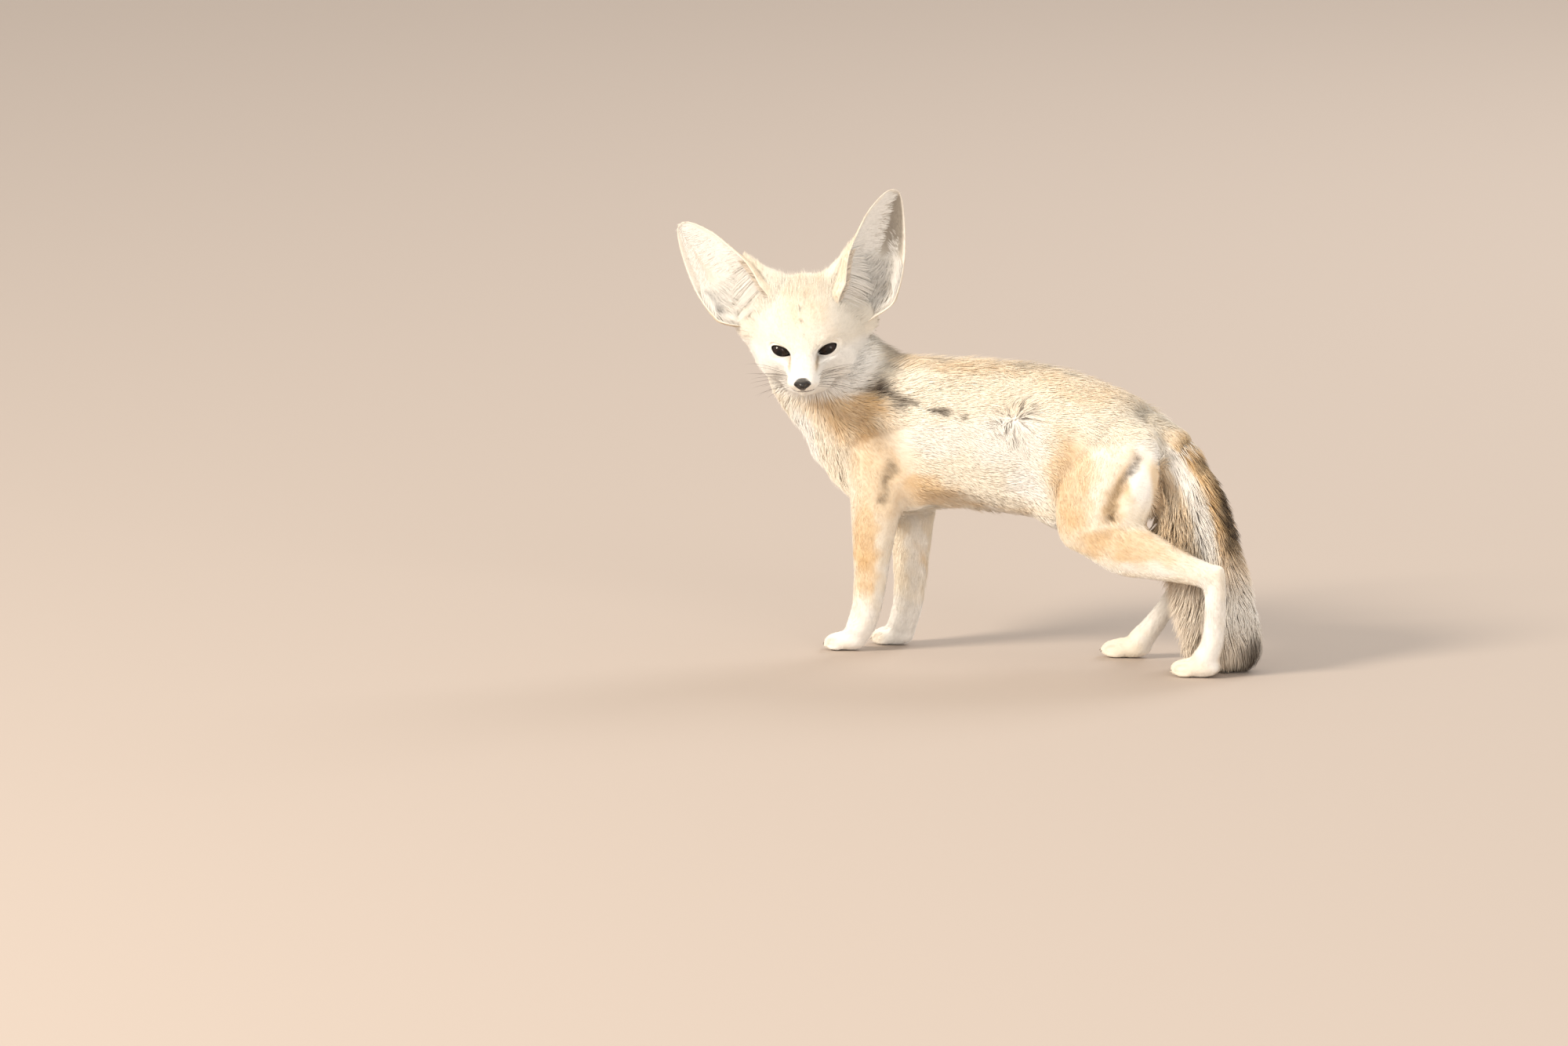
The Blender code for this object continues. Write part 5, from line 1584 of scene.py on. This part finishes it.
def nose_material():
    """Moist black leathery skin, with the fine pebbling of a dog's nose, about 0.6 mm."""
    made, tree, shader = material("moist_nose_skin", Roughness=0.36, Coat_Weight=0.3, Coat_Roughness=0.25)
    place = add(tree, "ShaderNodeTexCoord").outputs["Object"]
    pebbles = add(tree, "ShaderNodeTexVoronoi", Vector=place, Scale=grain(0.588)).outputs["Distance"]
    relief = add(tree, "ShaderNodeBump", Strength=0.35, Distance=0.2 * MM, Height=pebbles)
    tree.links.new(relief.outputs["Normal"], shader.inputs["Normal"])
    blot = add(tree, "ShaderNodeTexNoise", Vector=place, Scale=grain(3.85), Detail=3.0).outputs["Fac"]
    colour = add(tree, "ShaderNodeMix", COLOURS, n0=blot, n6=linear("#120D0B"), n7=linear("#211813"))
    tree.links.new(colour.outputs[2], shader.inputs["Base Color"])
    return made


def skin_line_material(name, first, second):
    """Bare skin of lids and lips, or horn of the claws: smooth and a little damp."""
    made, tree, shader = material(name, Roughness=0.42)
    place = add(tree, "ShaderNodeTexCoord").outputs["Object"]
    blot = add(tree, "ShaderNodeTexNoise", Vector=place, Scale=grain(2.0), Detail=2.0).outputs["Fac"]
    colour = add(tree, "ShaderNodeMix", COLOURS, n0=blot, n6=linear(first), n7=linear(second))
    tree.links.new(colour.outputs[2], shader.inputs["Base Color"])
    return made


def make_mouth(ground):
    """The dark edge of the lips, along the line where the jaw meets the muzzle."""
    centres = []
    ups = []
    for step in range(-22, 23):
        share = step / 22
        turn = math.radians(38) * share
        drop = -21.2 - 1.6 * abs(share) ** 1.5
        way = Vector((math.cos(turn), math.sin(turn), 0))
        start = HEAD @ ((Vector((4, 0, drop)) + way * 80) * MM)
        found = ground.tree.ray_cast(start, HEAD.to_3x3() @ -way)
        if found[0] is not None:
            centres.append(np.array(found[0] + found[1] * 0.0001))
            ups.append(np.array(found[1]))
    count = len(centres)
    swell = [math.sin(math.pi * (k + 0.5) / count) ** 0.5 for k in range(count)]
    radii = [0.4 * MM * (0.25 + 0.75 * share) for share in swell]
    return ring_tube("lips", centres, ups, radii, closed=False)


def make_whiskers(ground):
    """Long stiff whiskers, in four rows on each pad of the muzzle."""
    draw = np.random.default_rng(SEED + 90)
    roots = []
    middles = []
    tips = []
    for side in (1, -1):
        inwards = HEAD.to_3x3() @ Vector((0, -side, 0))
        for row in range(4):
            for k in range(4):
                aim = Vector((27 - 3.2 * k + 1.0 * row, 5 + side * 60, -12.0 - 2.3 * row))
                found = ground.tree.ray_cast(HEAD @ (aim * MM), inwards)
                if found[0] is None:
                    continue
                root = np.array(HEAD.inverted() @ found[0]) / MM
                length = (20 + 6 * k) * draw.uniform(0.85, 1.15)
                rise = 0.20 - 0.15 * row + draw.uniform(-0.14, 0.14)
                way = np.array((-0.3 - 0.12 * k + draw.uniform(-0.1, 0.1), side, rise))
                way /= np.linalg.norm(way)
                sag = np.array((-0.2, 0, -0.2 + draw.uniform(-0.08, 0.08))) * length
                roots.append(root - way)
                middles.append(root + way * length * 0.5 + sag * 0.25)
                tips.append(root + way * length * 0.95 + sag)
    roots, middles, tips = np.array(roots), np.array(middles), np.array(tips)
    quarter = 0.375 * roots + 0.75 * middles - 0.125 * tips
    three = -0.125 * roots + 0.75 * middles + 0.375 * tips
    stations = np.array([head_place(p) for p in (roots, quarter, middles, three, tips)])
    count = len(roots)
    up = np.array(HEAD.to_3x3() @ Vector((0.3, 0, 1.0)).normalized())
    normals = np.tile(up, (count, 1))
    layout = np.full((count, 2), 0.5)
    shades = {"tone": np.ones(count)}
    widths = np.full(count, 0.16)
    hair("whiskers", stations, normals, widths, layout, shades, whisker_material(), 2.0)


def whisker_material():
    """Stiff, smooth and near-black horn, browner in places."""
    made, tree, shader = material("whisker", Roughness=0.4)
    place = add(tree, "ShaderNodeTexCoord").outputs["Object"]
    shade = add(tree, "ShaderNodeTexNoise", Vector=place, Scale=grain(11.1)).outputs["Fac"]
    colour = add(tree, "ShaderNodeMix", COLOURS, n0=shade, n6=linear("#1F1713"), n7=linear("#4A392E"))
    tree.links.new(colour.outputs[2], shader.inputs["Base Color"])
    return made


# Rings of a claw: way forward, way up and radius
CLAW_RINGS = [(0, 0, 0.7), (1.1, 0, 0.62), (2.0, -0.5, 0.42), (2.7, -1.1, 0.12)]


def make_claws(ground):
    """Four short curved claws on each paw, mostly hidden by its hair."""
    around = 8
    points = []
    faces = []
    for x, y, _ in PAWS.values():
        for toe in (-1.5, -0.5, 0.5, 1.5):
            aim = Vector(body_place((x - 60, y + toe * TOE_SPREAD * 0.92, 5.2)))
            found = ground.tree.ray_cast(aim, Vector((1, 0, 0)))
            if found[0] is None or found[0].x > (x + 5) * MM + SHIFT.x:
                continue
            base = np.array(found[0]) / MM + (1.4, 0, 0)
            start = len(points)
            for forward, rise, radius in CLAW_RINGS:
                centre = base + (-forward, toe * 0.12 * forward, rise)
                for step in range(around):
                    turn = math.tau * step / around
                    across, over = 0.7 * radius * math.cos(turn), radius * math.sin(turn)
                    points.append(centre + (0.25 * radius * math.sin(turn), across, over))
            faces += [tuple(start + k for k in face) for face in tube_faces(len(CLAW_RINGS), around)]
    claws = turned_outwards(object_from("claws", np.array(points) * MM, faces))
    claws.data.shade_smooth()
    return claws


# Floor, light and camera


def make_stage():
    bpy.ops.mesh.primitive_plane_add(size=40)
    floor = bpy.context.active_object
    floor.name = "floor"
    made, _, shader = material("pale_floor", Roughness=0.85)
    shader.inputs["Base Color"].default_value = linear("#B9ABA0")
    floor.data.materials.append(made)
    world = bpy.data.worlds.new("studio")
    world.use_nodes = True
    world.node_tree.nodes["Background"].inputs[0].default_value = linear("#FBF6EF")
    world.node_tree.nodes["Background"].inputs[1].default_value = 0.8
    bpy.context.scene.world = world
    bpy.context.scene.view_settings.view_transform = "Standard"


def make_light(name, place, target, size, power, colour):
    data = bpy.data.lights.new(name, "AREA")
    data.shape = "DISK"
    data.size = size
    data.energy = power
    data.color = linear(colour)[:3]
    lamp = bpy.data.objects.new(name, data)
    lamp.location = place
    lamp.rotation_mode = "QUATERNION"
    lamp.rotation_quaternion = (Vector(target) - Vector(place)).to_track_quat("-Z", "Y")
    bpy.context.scene.collection.objects.link(lamp)


VIEW_AZIMUTH = math.radians(22)
VIEW_ELEVATION = math.radians(9)
VIEW_DISTANCE = 12.0
VIEW_SCALE = 0.56  # millimetres to a pixel
VIEW_ORIGIN = (1290, 837)  # the pixel of the body table's origin
PICTURE = (2000, 1334)
SENSOR = 36


def make_camera():
    level = math.cos(VIEW_ELEVATION)
    x, y = math.sin(VIEW_AZIMUTH) * level, -math.cos(VIEW_AZIMUTH) * level
    back = Vector((x, y, math.sin(VIEW_ELEVATION)))
    turn = (-back).to_track_quat("-Z", "Y")
    right, up = turn.to_matrix().col[0], turn.to_matrix().col[1]
    aside, under = (VIEW_ORIGIN[k] - PICTURE[k] / 2 for k in (0, 1))
    middle = SHIFT - right * aside * VIEW_SCALE * MM + up * under * VIEW_SCALE * MM
    data = bpy.data.cameras.new("camera")
    data.sensor_width = SENSOR
    data.lens = SENSOR * VIEW_DISTANCE / (PICTURE[0] * VIEW_SCALE * MM)
    data.clip_end = 100
    camera = bpy.data.objects.new("camera", data)
    camera.rotation_mode = "QUATERNION"
    camera.rotation_quaternion = turn
    camera.location = middle + back * VIEW_DISTANCE
    bpy.context.scene.collection.objects.link(camera)
    bpy.context.scene.camera = camera


def main():
    coat = coat_material()
    skin, shares = make_skin()
    unwrap(skin)
    values = markings(coordinates(skin))
    values["tone"] = np.full(len(skin.data.vertices), 0.5)
    values["along"] = np.full(len(skin.data.vertices), 0.25)
    set_marks(skin, values)
    skin.data.materials.clear()
    skin.data.materials.append(coat)
    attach(skin, "root")
    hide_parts(*FLESH)
    ground = Ground(skin)
    ears = []
    for side, word in ((1, "left"), (-1, "right")):
        ear, along, turn, inside = make_ear(side, f"ear_skin_{word}", ground)
        unwrap(ear)
        shades = ear_marks(side, along, turn, inside)
        shades["tone"] = np.full(len(along), 0.5)
        shades["along"] = np.full(len(along), 0.45)
        set_marks(ear, shades)
        ear.data.materials.append(coat)
        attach(ear, "root")
        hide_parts(f"ear_{word}")
        grow_ear_coat(side, f"ear_{word}", ear, ground, coat)
        ears.append(ear)
    grow_coat(ground, shares, ears, coat)

    eye_finish = eye_material()
    rim_finish = skin_line_material("lid_skin", "#120D0B", "#241A16")
    for side, word in ((1, "left"), (-1, "right")):
        eye = make_eye(side, f"eyeball_{word}")
        eye.data.materials.append(eye_finish)
        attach(eye, "root")
        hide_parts(f"eye_{word}")
        lids = make_lid_rims(side, f"lid_rims_{word}")
        lids.data.materials.append(rim_finish)
        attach(lids, "root")

    nose = make_nose()
    nose.data.materials.clear()
    nose.data.materials.append(nose_material())
    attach(nose, "root")
    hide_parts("nose")
    lips = make_mouth(ground)
    lips.data.materials.append(skin_line_material("lip_skin", "#4A3A35", "#6A5750"))
    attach(lips, "root")
    make_whiskers(ground)
    claws = make_claws(ground)
    claws.data.materials.append(skin_line_material("claw_horn", "#5A4B40", "#85746A"))
    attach(claws, "root")

    make_stage()
    make_light("key", (-2.6, -3.4, 3.0), (0, 0, 0.15), 1.5, 250, "#FFF3E2")
    make_light("fill", (3.2, -3.0, 1.6), (0, 0, 0.15), 2.4, 50, "#FFF8F0")
    make_light("back", (0.8, 3.4, 2.6), (0, 0, 0.2), 2.0, 60, "#FFFFFF")
    make_camera()


main()
